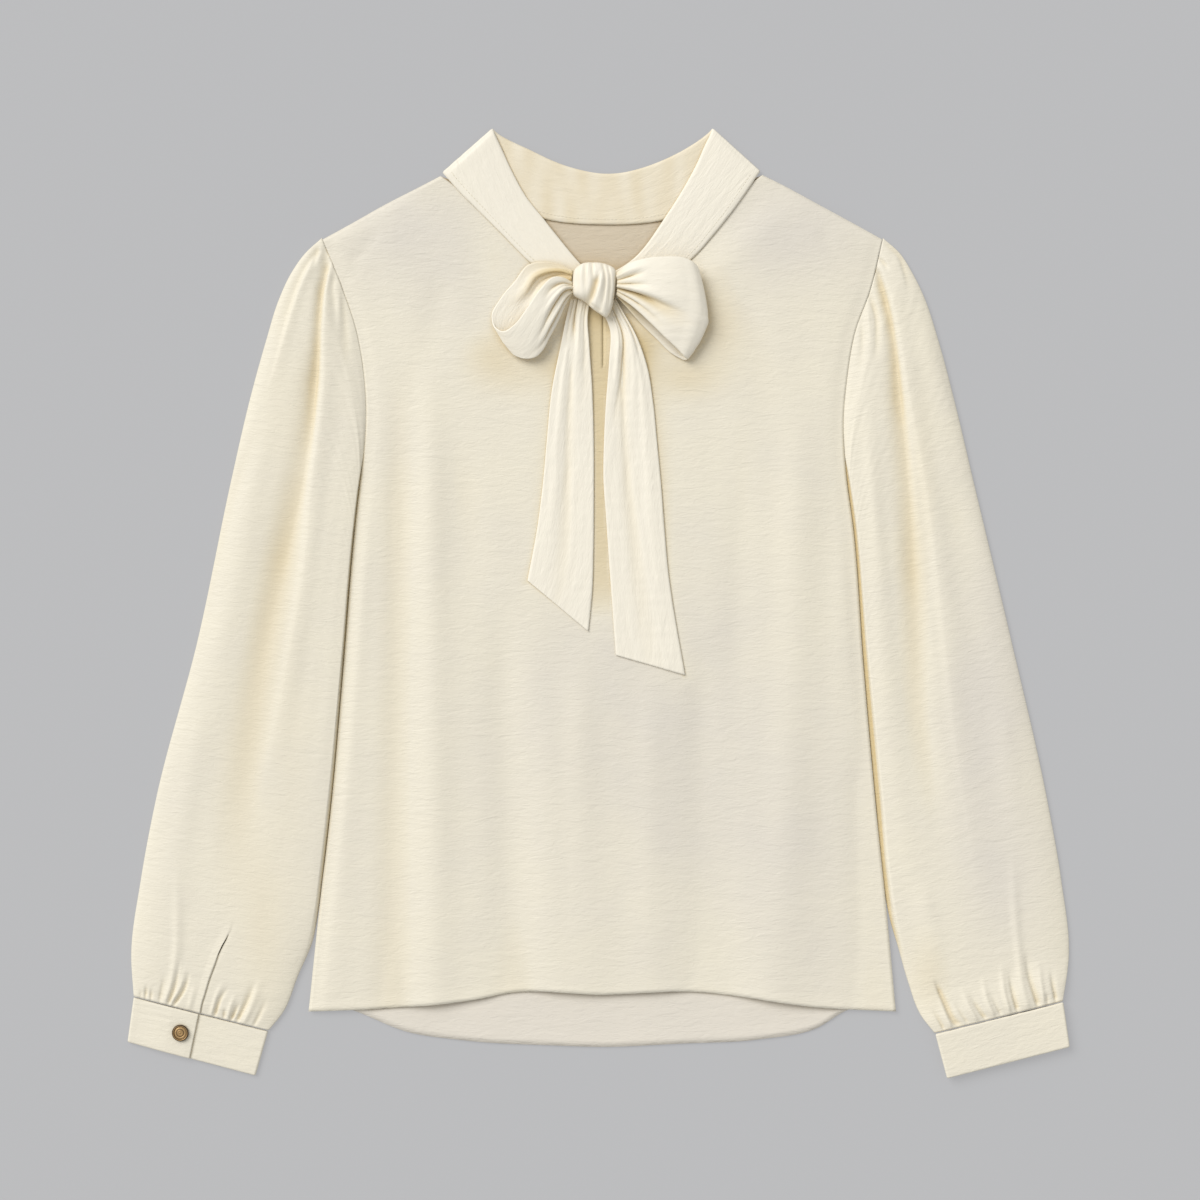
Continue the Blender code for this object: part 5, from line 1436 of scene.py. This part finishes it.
SLEEVES = {
    Side.LEFT: Sleeve(
        Side.LEFT,
        inner=[
            (-184.9, 110.0), (-191.4, 57.7), (-200.3, -49.9), (-209.8, -157.6), (-216.8, -216.0),
            (-219.8, -239.8), (-225.0, -265.2), (-235.9, -290.8), (-246.8, -318.1),
            (-258.4, -332.9),
        ],
        outer=[
            (-216.8, 284.5), (-230.1, 272.2), (-241.0, 256.6), (-250.4, 236.3), (-260.1, 205.1),
            (-273.0, 158.3), (-287.4, 95.9), (-313.6, -28.9), (-346.3, -153.7), (-358.0, -216.1),
            (-365.4, -275.0), (-363.5, -306.3),
        ],
        head=[
            (-184.9, 110.0), (-182.6, 147.4), (-184.1, 176.5), (-190.6, 214.7), (-201.0, 245.9),
            (-216.8, 284.5),
        ],
        cuff=[(-363.5, -307.3), (-258.6, -333.8), (-268.5, -368.2), (-368.2, -342.0)],
        tuck=[
            (172.0, 0.0), (160.0, 4.0), (149.0, 7.4), (95.0, 7.0), (62.6, 4.4), (30.0, 3.9),
            (-13.0, 3.3), (-80.0, 3.0), (-157.0, 2.6), (-243.0, 1.5), (-290.0, 0.0),
        ],
        slit=[
            (-287.8, -256.6), (-292.8, -265.0), (-298.0, -275.9), (-304.2, -291.5),
            (-308.1, -304.7), (-311.6, -315.6),
        ],
        shade_spots=(
            (-248.0, 150.0, 14.0, 80.0, 0.05), (-262.0, 0.0, 16.0, 90.0, 0.05),
            (-282.0, -140.0, 20.0, 90.0, 0.05), (-240.0, -100.0, 14.0, 140.0, 0.06),
            (-262.0, -250.0, 16.0, 60.0, 0.16), (-330.0, -190.0, 18.0, 60.0, -0.15),
        ),
        folds=(
            # The deep pleat from the head: a slow dark slope on the outer side, a steep lit one inside.
            Fold(((-211.8, 274.6), (-213.3, 256.6), (-216.1, 242.6), (-218.0, 220.7), (-220.0,
                 181.7), (-223.1, 146.6), (-227.8, 111.5)), 1.6, 5.0, -3.2, 0.7, 0.0),
            Fold(((-218.4, 212.9), (-220.7, 173.9), (-224.6, 134.9), (-231.7, 95.9), (-241.0,
                 53.0), (-250.4, 10.1)), 4.5, 13.0, -2.6, 0.0, 0.0),
            Fold(((-231.7, 103.7), (-242.6, 56.9), (-252.7, 10.1), (-262.1, -36.7), (-269.1,
                 -83.5), (-275.3, -126.4), (-280.8, -177.1), (-285.5, -224.6), (-291.7, -251.2)),
                 13.0, 15.0, -2.6, 0.0, 0.0),
            Fold(((-209.8, 266.0), (-211.8, 244.1), (-213.7, 212.9), (-216.1, 173.9), (-220.0,
                 134.9), (-224.6, 80.3), (-229.7, 21.8), (-237.1, -21.1), (-244.1, -61.6),
                 (-252.7, -106.9), (-260.5, -145.9), (-263.6, -192.7)), 10.0, 5.0, 1.6, 0.6, 0.0),
            # Short pleats at the head.
            Fold(((-219.2, 274.6), (-221.9, 267.5), (-223.9, 260.9)), 1.5, 2.6, -2.2, 0.9, 0.0),
            Fold(((-217.6, 278.5), (-231.3, 251.2), (-240.2, 225.4), (-248.8, 195.0), (-257.4,
                 164.6)), 5.0, 1.6, 1.3, 0.6, 0.1),
            Fold(((-219.2, 277.7), (-234.0, 251.2), (-243.4, 225.4), (-251.9, 195.0)), 1.8, 5.0,
                 -1.0, 0.6, 0.0),
            Fold(((-209.8, 266.8), (-211.4, 261.3), (-212.6, 255.8)), 1.0, 1.8, -1.7, 1.0, 0.0),
            Fold(((-205.5, 259.7), (-208.3, 245.7), (-206.7, 228.5), (-205.1, 212.2)), 2.5, 3.6,
                 -1.6, 0.9, 0.0),
            Fold(((-200.5, 242.6), (-198.9, 220.7), (-198.1, 197.3), (-198.9, 173.9)), 3.5, 4.0,
                 -1.0, 0.6, 0.0),
            Fold(((-202.0, 249.6), (-202.8, 228.5), (-202.0, 205.1)), 2.2, 2.2, 0.9, 0.6, 0.0),
            # Broad swells down the sleeve.
            Fold(((-263.6, 127.1), (-290.2, -21.1), (-315.9, -145.9)), 14.0, 15.0, 1.0, 0.0, 0.0),
            Fold(((-266.8, 142.7), (-301.1, 33.5), (-319.8, -75.7)), 10.0, 12.0, -0.9, 0.0, 0.0),
            Fold(((-308.1, -75.7), (-322.9, -153.7), (-330.7, -216.1)), 10.0, 9.0, 0.8, 0.0, 0.4),
            # Gathers above the cuff.
            Fold(((-358.0, -308.9), (-357.6, -301.1)), 1.1, 1.3, -1.4, 1.0, 0.0),
            Fold(((-354.1, -308.9), (-352.9, -297.2)), 1.2, 1.4, -1.8, 1.0, 0.0),
            Fold(((-349.8, -310.4), (-349.1, -299.5)), 1.1, 1.4, -1.5, 1.0, 0.0),
            Fold(((-343.2, -310.8), (-340.9, -300.3), (-338.5, -287.8)), 1.5, 2.6, -1.1, 0.8,
                 0.0),
            Fold(((-338.7, -311.6), (-333.8, -297.6), (-329.6, -272.2), (-328.8, -235.6), (-329.2,
                 -200.5)), 3.0, 4.2, 1.3, 1.0, 0.0),
            Fold(((-335.6, -311.6), (-330.7, -298.7), (-326.8, -276.9)), 2.6, 1.2, -2.1, 1.0,
                 0.0),
            Fold(((-334.2, -312.4), (-326.8, -299.5), (-322.1, -283.1)), 1.4, 2.6, 1.3, 1.0, 0.0),
            Fold(((-331.5, -312.8), (-323.4, -300.7), (-319.3, -285.5)), 2.6, 1.2, -2.2, 1.0,
                 0.0),
            Fold(((-319.8, -315.1), (-317.5, -306.5), (-315.1, -294.1)), 2.0, 2.4, 0.8, 0.8, 0.0),
            Fold(((-303.0, -321.4), (-297.6, -304.2), (-292.5, -294.1)), 1.6, 2.8, 1.3, 1.0, 0.0),
            Fold(((-300.0, -321.8), (-294.1, -305.8), (-288.6, -298.7)), 2.4, 1.2, -2.2, 1.0,
                 0.0),
            Fold(((-292.8, -323.7), (-292.1, -315.1)), 1.1, 1.2, -1.7, 1.0, 0.0),
            Fold(((-290.2, -324.5), (-287.8, -314.3), (-283.1, -303.4)), 1.4, 1.8, 1.2, 1.0, 0.0),
            Fold(((-287.8, -326.0), (-283.9, -318.0), (-280.8, -310.4)), 1.7, 1.2, -2.3, 1.0,
                 0.0),
            Fold(((-282.7, -327.2), (-272.5, -305.8), (-268.7, -294.8)), 2.6, 1.2, -2.1, 1.0,
                 0.0),
            Fold(((-277.7, -327.6), (-268.3, -306.5), (-263.6, -290.2)), 2.0, 3.0, 1.3, 0.9, 0.0),
            Fold(((-269.9, -329.9), (-264.4, -319.0), (-259.0, -306.5)), 1.8, 1.8, -1.2, 0.9,
                 0.0),
        ),
    ),
    Side.RIGHT: Sleeve(
        Side.RIGHT,
        inner=[
            (191.8, 103.0), (197.8, 57.7), (205.8, -49.9), (215.3, -157.6), (221.9, -224.0),
            (226.3, -246.0), (232.6, -267.7), (240.5, -295.4), (250.4, -321.3), (260.6, -334.5),
        ],
        outer=[
            (220.6, 284.4), (234.0, 272.2), (243.4, 257.4), (251.9, 240.2), (263.6, 205.1),
            (276.1, 158.3), (290.9, 95.9), (320.6, -28.9), (348.7, -153.7), (359.6, -216.1),
            (365.4, -275.0), (360.4, -309.6),
        ],
        head=[
            (191.8, 103.0), (190.2, 144.3), (192.9, 175.3), (199.4, 212.4), (210.1, 241.6),
            (220.6, 284.4),
        ],
        cuff=[(360.4, -310.6), (260.8, -335.4), (269.9, -369.7), (365.4, -345.2)],
        tuck=[
            (168.0, 0.0), (153.0, 6.0), (138.0, 10.2), (106.0, 10.4), (78.0, 9.4), (47.0, 8.4),
            (8.0, 7.8), (-13.0, 7.6), (-100.0, 6.6), (-216.0, 4.6), (-250.0, 2.5), (-290.0, 0.0),
        ],
        slit=[],
        roll_radius=3.2,
        shade_spots=(
            (250.0, 60.0, 12.0, 100.0, 0.12), (262.0, -120.0, 14.0, 110.0, 0.1),
            (300.0, -100.0, 34.0, 130.0, -0.9), (325.0, -230.0, 30.0, 60.0, -0.3),
            (256.0, -290.0, 16.0, 30.0, 0.2),
        ),
        lift=2.8,
        folds=(
            # The deep pleat from the head: painted ochre shade between its soft outer wall and its
            # sharp lit edge.
            Fold(((216.5, 258.2), (222.3, 238.7), (227.0, 216.8), (230.1, 195.0), (233.2, 166.1),
                 (236.3, 134.9)), 1.7, 5.5, -3.5, 0.8, 0.0),
            Fold(((229.3, 201.2), (232.4, 166.1), (236.3, 127.1), (240.2, 80.3), (242.6, 33.5),
                 (244.1, -5.5)), 4.0, 9.5, -2.8, 0.0, 0.0),
            Fold(((240.2, 88.1), (242.6, 29.6), (244.5, -28.9), (247.3, -83.5), (252.7, -118.6),
                 (259.4, -152.1), (266.8, -200.5), (271.4, -234.8)), 10.0, 11.0, -2.2, 0.0, 0.0),
            Fold(((219.2, 259.7), (226.2, 244.1), (232.4, 220.7), (236.3, 197.3), (239.5, 173.2),
                 (243.4, 150.5), (253.5, 95.9), (262.1, 32.0), (270.7, -44.5), (278.5, -113.1),
                 (293.3, -210.6), (295.6, -259.0)), 10.0, 4.5, 1.6, 0.6, 0.0),
            # Short pleats at the head.
            Fold(((217.6, 268.3), (221.5, 264.4), (224.6, 259.0)), 1.2, 1.8, -2.2, 1.0, 0.0),
            Fold(((216.1, 262.9), (219.2, 258.2)), 1.0, 1.2, 0.9, 1.0, 0.0),
            Fold(((222.1, 279.6), (232.4, 270.7), (237.7, 255.8), (240.2, 241.0)), 3.2, 1.6, -1.7,
                 0.6, 0.0),
            Fold(((209.4, 239.5), (214.3, 225.4), (215.3, 205.1), (213.7, 185.6)), 3.0, 1.8, -1.6,
                 1.0, 0.0),
            Fold(((207.5, 231.7), (209.8, 212.9), (209.0, 192.7)), 2.0, 2.0, 0.9, 0.6, 0.0),
            Fold(((203.6, 219.2), (204.4, 201.2), (202.0, 181.7)), 2.0, 2.6, -0.8, 0.6, 0.0),
            # Broad swells down the sleeve.
            Fold(((207.5, 170.0), (213.3, 80.3), (220.7, -40.6), (230.1, -137.3), (237.6,
                 -210.6)), 8.0, 7.0, 1.5, 0.2, 0.2),
            Fold(((271.4, 103.7), (290.2, 2.3), (304.2, -99.1)), 12.0, 14.0, -1.2, 0.0, 0.0),
            Fold(((249.6, 212.9), (262.1, 173.9), (270.7, 127.1)), 9.0, 8.0, 0.8, 0.0, 0.0),
            Fold(((312.0, -75.7), (321.4, -153.7), (322.1, -200.5)), 9.0, 10.0, 0.8, 0.0, 0.0),
            Fold(((249.6, -216.1), (257.4, -255.1), (261.3, -298.0)), 8.0, 9.0, 0.9, 0.0, 0.2),
            # Gathers above the cuff.
            Fold(((260.5, -294.1), (267.5, -310.1), (275.3, -325.7), (280.8, -330.7)), 2.8, 1.5,
                 -2.4, 0.1, 1.0),
            Fold(((268.3, -333.8), (264.4, -325.3), (258.2, -315.9)), 1.3, 1.6, -1.6, 1.0, 0.0),
            Fold(((273.8, -332.3), (269.1, -321.4), (263.6, -308.1)), 1.8, 1.8, 1.3, 1.0, 0.0),
            Fold(((288.2, -329.9), (280.8, -319.0), (276.1, -309.7)), 1.3, 1.9, -1.3, 1.0, 0.0),
            Fold(((294.8, -327.6), (287.0, -314.3), (280.8, -298.7)), 1.8, 2.0, 1.5, 1.0, 0.0),
            Fold(((301.5, -326.0), (293.3, -314.3), (287.0, -303.4)), 1.4, 2.2, -2.2, 1.0, 0.0),
            Fold(((307.3, -323.7), (301.1, -309.7), (297.2, -290.2)), 1.8, 2.0, 1.5, 1.0, 0.0),
            Fold(((312.8, -322.5), (306.9, -310.4), (303.4, -301.9)), 1.3, 2.0, -1.4, 1.0, 0.0),
            Fold(((319.0, -320.6), (314.3, -303.4), (312.0, -280.0)), 1.8, 2.2, 1.6, 1.0, 0.0),
            Fold(((325.1, -319.0), (321.4, -305.6), (318.2, -284.7)), 1.4, 2.6, -2.4, 1.0, 0.0),
            Fold(((333.1, -316.7), (328.4, -298.0), (326.0, -274.6), (322.1, -231.7), (321.4,
                 -186.4)), 3.2, 3.6, 1.3, 1.0, 0.0),
            Fold(((341.2, -315.1), (337.0, -301.9), (333.8, -290.2), (331.5, -270.7)), 1.6, 3.2,
                 -2.5, 1.0, 0.0),
            Fold(((345.5, -313.6), (343.2, -298.0), (340.9, -276.9)), 2.0, 1.8, 1.2, 0.8, 0.0),
            Fold(((348.7, -312.8), (347.1, -303.4)), 1.1, 1.3, -1.3, 1.0, 0.0),
            Fold(((355.3, -312.0), (352.6, -300.3), (350.2, -284.7)), 1.2, 2.2, -2.2, 1.0, 0.0),
        ),
    ),
}

ARM_Z, BACK_BAND_Z = 4.0, 2.25
# Band sections: (inner x, y, outer x, y, height of the middle face).
BAND = [
    (-4.5, 251.5, -4.5, 232.5, 4.05), (-24.0, 274.2, -31.2, 247.3, ARM_Z),
    (-45.5, 301.1, -54.6, 265.2, ARM_Z), (-58.0, 317.1, -74.1, 284.9, ARM_Z),
    (-68.8, 336.8, -92.0, 302.8, ARM_Z), (-77.8, 356.5, -110.0, 320.7, ARM_Z),
    (-82.6, 367.0, -120.5, 332.6, 3.85), (-83.5, 369.4, -122.5, 335.0, 3.12),
    (-81.5, 367.3, -119.5, 333.0, 2.4), (-54.4, 352.9, -81.9, 312.8, BACK_BAND_Z),
    (-25.8, 340.4, -40.1, 298.4, BACK_BAND_Z), (2.0, 334.6, -0.8, 294.8, BACK_BAND_Z),
    (31.5, 338.6, 47.6, 297.8, BACK_BAND_Z), (61.9, 351.2, 85.8, 311.2, BACK_BAND_Z),
    (85.5, 367.3, 121.5, 333.4, 2.4), (87.5, 369.4, 124.6, 335.9, 3.12),
    (86.7, 367.0, 122.8, 333.2, 3.85), (81.7, 356.5, 115.7, 322.5, ARM_Z),
    (74.5, 340.4, 101.4, 302.8, ARM_Z), (63.7, 320.7, 87.0, 284.9, ARM_Z),
    (51.2, 301.1, 74.5, 270.7, ARM_Z), (29.6, 271.4, 46.8, 248.8, ARM_Z),
    (-2.0, 250.5, -0.5, 232.5, 4.05),
]

# Bow loops: sections from the knot out along the front leaf and back along the back leaf:
# (upper x, y, z, middle x, y, z, lower x, y, z).
LOOPS = {
    Side.LEFT: [
        (-21.9, 248.8, 15.0, -21.8, 244.1, 15.0, -22.4, 239.5, 12.0),
        (-29.1, 251.9, 19.0, -27.8, 242.6, 19.0, -27.5, 230.1, 13.5),
        (-37.4, 251.2, 22.0, -34.3, 234.8, 21.0, -32.8, 217.6, 14.0),
        (-46.8, 241.8, 23.5, -40.6, 223.9, 21.0, -39.0, 205.9, 14.0),
        (-55.4, 229.3, 22.5, -46.8, 212.2, 20.0, -44.5, 195.8, 13.5),
        (-66.3, 215.3, 19.5, -56.9, 202.0, 17.0, -52.3, 189.9, 12.5),
        (-75.7, 210.6, 15.0, -67.9, 198.9, 13.0, -61.6, 190.3, 11.0),
        (-82.3, 215.3, 11.2, -75.2, 203.2, 10.4, -67.8, 194.4, 9.4),
        (-84.2, 223.9, 8.4, -73.3, 212.2, 8.0, -65.5, 202.8, 7.6),
        (-77.2, 237.1, 7.0, -66.3, 224.6, 6.8, -57.7, 212.9, 6.8),
        (-66.3, 250.4, 6.4, -54.6, 236.3, 6.2, -46.8, 225.4, 6.4),
        (-55.4, 263.2, 7.0, -45.2, 249.6, 6.6, -38.2, 236.3, 7.0),
        (-42.9, 265.2, 8.0, -35.1, 254.3, 8.0, -30.4, 242.6, 8.4),
        (-30.4, 262.9, 9.4, -26.9, 255.1, 9.4, -25.4, 245.7, 9.4),
        (-21.3, 258.0, 11.0, -21.8, 253.7, 10.5, -22.3, 247.5, 10.0),
    ],
    Side.RIGHT: [
        (12.7, 255.8, 15.0, 13.5, 247.3, 16.5, 12.9, 238.7, 13.5),
        (22.6, 262.9, 18.0, 25.0, 246.5, 19.5, 25.7, 229.3, 15.0),
        (36.7, 266.8, 20.0, 39.0, 244.1, 22.0, 39.0, 216.8, 16.5),
        (50.7, 267.9, 20.5, 53.0, 239.5, 23.0, 49.9, 205.9, 17.0),
        (63.2, 267.5, 19.5, 67.1, 234.0, 22.0, 59.3, 197.3, 16.0),
        (72.0, 264.0, 17.5, 79.0, 224.5, 19.5, 65.5, 190.7, 14.5),
        (75.3, 260.5, 14.0, 83.5, 218.0, 14.8, 67.4, 189.1, 11.6),
        (72.5, 258.2, 10.4, 78.8, 219.2, 9.8, 65.5, 188.8, 8.6),
        (62.4, 261.3, 8.2, 65.5, 222.3, 7.3, 55.4, 194.2, 7.1),
        (48.4, 261.3, 7.6, 49.9, 230.1, 6.6, 43.7, 205.5, 6.8),
        (35.1, 261.3, 7.6, 36.7, 237.9, 6.8, 32.0, 216.8, 7.2),
        (23.4, 257.2, 9.0, 24.2, 242.6, 8.8, 21.8, 228.3, 9.2),
        (13.2, 252.7, 11.0, 13.6, 244.9, 10.5, 13.4, 237.3, 10.2),
    ],
}
# Creases: (place across, along at the start; at the end; half widths; height).
LOOP_CREASES = {
    Side.LEFT: (
        (0.30, 0.0, 0.18, 0.22, 0.08, 0.05, -2.8), (0.60, 0.0, 0.60, 0.34, 0.08, 0.04, -2.4),
        (0.85, 0.0, 0.84, 0.40, 0.05, 0.05, -1.8), (0.46, 0.0, 0.40, 0.30, 0.05, 0.06, 1.8),
        (0.74, 0.0, 0.74, 0.36, 0.04, 0.05, 1.4), (0.35, 0.98, 0.28, 0.60, 0.10, 0.05, -2.6),
        (0.7, 0.98, 0.60, 0.66, 0.05, 0.08, -2.0), (0.52, 0.98, 0.44, 0.64, 0.05, 0.06, 1.4),
    ),
    Side.RIGHT: (
        (0.36, 0.0, 0.24, 0.20, 0.06, 0.04, -2.6), (0.52, 0.0, 0.46, 0.22, 0.04, 0.05, -1.8),
        (0.68, 0.0, 0.65, 0.45, 0.035, 0.11, -5.0), (0.60, 0.0, 0.57, 0.42, 0.08, 0.04, 1.6),
        (0.84, 0.0, 0.90, 0.32, 0.03, 0.06, -2.0), (0.20, 0.0, 0.12, 0.26, 0.07, 0.07, 1.2),
        (0.35, 0.98, 0.40, 0.7, 0.08, 0.10, -1.6), (0.6, 0.98, 0.62, 0.72, 0.06, 0.06, 1.2),
    ),
}
# Tails: (left x, y, right x, y, height of the root above the front), from the knot down.
TAILS = {
    Side.LEFT: [
        (-22.5, 236.2, -7.6, 236.1, 2.6), (-25.6, 224.6, -9.4, 223.9, 2.6),
        (-30.4, 201.2, -8.3, 201.2, 1.6), (-37.4, 166.1, -6.0, 166.9, 0.5),
        (-41.7, 123.2, -4.8, 124.8, 0.0), (-44.1, 96.7, -4.7, 94.4, 0.0),
        (-49.1, 56.9, -5.0, 45.2, 0.0), (-53.4, 33.5, -5.9, 10.1, 0.0),
        (-56.5, 17.5, -9.0, -22.3, 0.0),
    ],
    Side.RIGHT: [
        (-2.8, 235.7, 12.5, 236.2, 2.6), (3.7, 223.1, 18.7, 225.4, 2.6),
        (7.6, 212.9, 26.5, 211.4, 2.0), (6.9, 186.4, 36.4, 184.9, 1.0),
        (4.6, 156.8, 41.3, 156.8, 0.2), (3.0, 124.8, 44.5, 124.8, 0.0),
        (2.6, 96.7, 47.6, 92.0, 0.0), (4.6, 67.1, 50.3, 56.9, 0.0),
        (6.6, 37.4, 53.0, 25.7, 0.0), (9.5, -2.3, 57.7, -7.0, 0.0),
        (12.3, -40.6, 66.3, -56.2, 0.0),
    ],
}
TAIL_CREASES = {
    Side.LEFT: (
        (0.36, 0.0, 0.47, 0.16, 0.10, 0.06, -3.0), (0.16, 0.0, 0.20, 0.18, 0.06, 0.07, -1.0),
        (0.62, 0.0, 0.58, 0.36, 0.08, 0.10, 0.8), (0.85, 0.0, 0.80, 0.4, 0.07, 0.10, -0.7),
        (0.45, 0.25, 0.5, 1.2, 0.12, 0.12, -0.9), (0.25, 0.2, 0.2, 1.1, 0.10, 0.12, 0.7),
    ),
    Side.RIGHT: (
        (0.55, 0.0, 0.12, 0.40, 0.03, 0.12, -2.4), (0.40, 0.0, 0.06, 0.36, 0.07, 0.03, 1.2),
        (0.80, 0.0, 0.52, 0.40, 0.06, 0.08, 0.8), (0.92, 0.0, 0.80, 0.26, 0.05, 0.05, -0.9),
        (0.35, 0.2, 0.55, 1.2, 0.10, 0.12, -0.9), (0.8, 0.1, 0.8, 1.1, 0.10, 0.12, 0.8),
    ),
}
KNOT_OUTLINE = [
    (-12.5, 263.6), (-19.0, 259.3), (-21.2, 248.8), (-20.8, 239.5), (-11.2, 233.2), (-5.5, 227.8),
    (-0.8, 224.6), (4.7, 221.5), (8.6, 227.0), (10.9, 237.9), (12.1, 247.3), (11.4, 259.0),
    (4.3, 262.9), (-6.2, 264.0),
]
KNOT_FOLDS = (
    Fold(((-1.1, 253.5), (-3.2, 245.0), (-6.5, 235.6), (-10.1, 230.9)), 1.3, 3.2, -3.2, 0.2, 1.0),
    Fold(((2.0, 256.0), (0.5, 246.0), (-2.5, 236.0), (-5.5, 228.0)), 2.2, 1.4, 1.0, 0.3, 0.6),
    Fold(((-5.9, 266.0), (-5.4, 254.0), (-4.5, 246.0)), 1.2, 1.8, -1.2, 0.8, 0.0),
    Fold(((-10.9, 265.0), (-11.4, 250.0), (-11.0, 238.0)), 1.3, 2.0, -1.1, 0.7, 0.2),
    Fold(((-16.0, 262.0), (-17.2, 250.0), (-16.0, 238.0)), 1.2, 1.8, -0.9, 0.6, 0.3),
    Fold(((1.6, 266.0), (4.2, 252.0), (3.2, 238.0), (0.5, 227.0)), 1.2, 1.8, -1.3, 0.8, 0.4),
    Fold(((5.5, 264.0), (8.2, 250.0), (7.2, 236.0), (5.5, 226.0)), 1.2, 1.8, -1.1, 0.8, 0.3),
    Fold(((-7.0, 231.5), (-4.0, 228.5), (-1.0, 226.5)), 1.2, 1.2, -1.2, 0.6, 0.6),
)


def band_middle(along: int, across: int) -> np.ndarray:
    """Work out the middle face of the neck band: straight sections between its two edges.

    Args:
        along: Rows of the grid.
        across: Columns of the grid.

    Returns:
        The grid of points.
    """
    rows = np.array(BAND)
    sections = np.column_stack([rows[:, 0:2], 6.0 * rows[:, 4], rows[:, 2:4], 6.0 * rows[:, 4]])
    read = curve_through(sections)(np.linspace(0.0, 1.0, along))
    read[:, [2, 5]] /= 6.0
    t = np.linspace(0.0, 1.0, across)[None, :, None]
    middle = (1 - t) * read[:, None, 0:3] + t * read[:, None, 3:6]
    arm = smoothstep((middle[..., 2] - 3.7) / 0.3)
    middle[..., 2] += 0.5 * arm * np.sin(np.pi * t[..., 0])
    return middle


def build_body(crepe: bpy.types.Material, lining: bpy.types.Material) -> Body:
    """Build the front and the back.

    Args:
        crepe: The cloth's outer finish.
        lining: The finish of its inner face, which shows on the back.

    Returns:
        The body, whose outer face the tie lies on.
    """
    body = Body()
    back = body.back()
    dress(back, "back", lining)
    lay_sheet(back, (0.46, 0.69))
    front = body.front()
    dress(front, "front", crepe)
    lay_sheet(front, (0.46, 0.65))
    return body


def build_sleeves(crepe: bpy.types.Material, brass: bpy.types.Material) -> None:
    """Build both sleeves with their cuffs and buttons."""
    for side, sleeve in SLEEVES.items():
        piece = sleeve.build()
        dress(piece, f"sleeve_{side.value}", crepe)
        lay_sheet(piece, (0.28, 0.65))
        cuff = Cuff(side, sleeve.cuff, lift=sleeve.lift)
        band = cuff.build()
        dress(band, f"cuff_{side.value}", crepe)
        lay_sheet(band, (0.26, 0.036))
        button = Button(cuff).build()
        dress(button, f"button_{side.value}", brass)


def build_tie(body: Body, crepe: bpy.types.Material) -> None:
    """Build the neck band, the bow's loops and tails, and the knot."""
    band = Strip("neck_band_strip", [], along=560, across=30, seed=51, slack=0.12)
    middle = band_middle(band.along, band.across)
    # Painted shade on the band's back part, which lies lower than the arms, mottled at random.
    behind = smoothstep((3.0 - middle[..., 2]) / 0.5)
    back_band_shade = 0.38 + 0.16 * ripple(middle[..., 1], middle[..., 0], 16.0, 52)
    piece = band.build(middle, behind * back_band_shade)
    dress(piece, "neck_band", crepe)
    lay_sheet(piece, (0.053, 0.56))
    for side in Side:
        loop = Strip(
            f"bow_loop_{side.value}_strip", LOOPS[side], LOOP_CREASES[side], along=220, across=56
        )
        run = np.linspace(0.0, 1.0, loop.along)[:, None]
        # Painted warm shade inside each loop, on its back leaf near the knot and at the start of its
        # front leaf.
        inside = 0.5 * smoothstep((run - 0.7) / 0.25) + 0.3 * smoothstep((0.10 - run) / 0.10)
        piece = loop.build(shade=np.repeat(inside, loop.across, axis=1))
        dress(piece, f"bow_loop_{side.value}", crepe)
        lay_sheet(piece, (0.07, 0.2))
        rows = curve_through(TAILS[side])(np.linspace(0.0, 1.0, 200))
        t = np.linspace(0.0, 1.0, 44)[None, :, None]
        plan = rows[:, None, 0:2] + t * (rows[:, None, 2:4] - rows[:, None, 0:2])
        lift = 0.35 + 0.55 + rows[:, 4][:, None]
        height = body.top(plan[..., 0], plan[..., 1]) + lift
        tail = Strip(
            f"bow_tail_{side.value}_strip", [], TAIL_CREASES[side], thickness=1.1, along=200, across=44,
            seed=61,
        )
        piece = tail.build(np.dstack([plan, height]))
        dress(piece, f"tail_{side.value}", crepe)
        lay_sheet(piece, (0.054, 0.3))
    knot = Knot(KNOT_OUTLINE, KNOT_FOLDS).build()
    dress(knot, "bow_knot", crepe)


def build_stitching(body: Body, thread: bpy.types.Material) -> None:
    """Lay the rows of stitches on the front hem and along the band's seam."""
    line = body.hem_line(body.hem_depth)
    hem = np.column_stack([line, body.top(line[:, 0], line[:, 1]) - 0.12])
    piece = Stitching().build("hem_stitches", [hem])
    dress(piece, "", thread)
    middle = band_middle(560, 30)
    rows = middle[:, 26]
    arm = rows[:, 2] > 3.9
    left = rows[arm & (rows[:, 0] < 0)] + (0.0, 0.0, 0.72)
    right = rows[arm & (rows[:, 0] > 0)] + (0.0, 0.0, 0.72)
    behind = middle[:, 26][rows[:, 2] < 2.5] + (0.0, 0.0, 0.72)
    piece = Stitching().build("band_stitches", [left, right, behind])
    dress(piece, "", thread)


def main() -> None:
    """Build the blouse and its studio."""
    logging.basicConfig(level=logging.INFO, format="%(message)s")
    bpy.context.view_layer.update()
    Studio().build()
    crepe = Crepe().build("crepe")
    inside = Crepe(colour=(0.755, 0.692, 0.593), cool_mottle_and_shade=(0.70, 0.65, 0.56), hollow_shade=(0.56, 0.44, 0.27))
    lining = inside.build("crepe_inside")
    # The tie's finish is a lighter copy of the cloth: painted light for the raised bow, which catches
    # more light.
    tie = Crepe(colour=(0.89, 0.825, 0.69), cool_mottle_and_shade=(0.82, 0.76, 0.65), crinkle=0.7).build("crepe_tie_painted_light")
    brass = Brass().build("antique_brass")
    thread = Thread().build("thread")
    body = build_body(crepe, lining)
    build_sleeves(crepe, brass)
    build_tie(body, tie)
    build_stitching(body, thread)


if __name__ == "__main__":
    main()
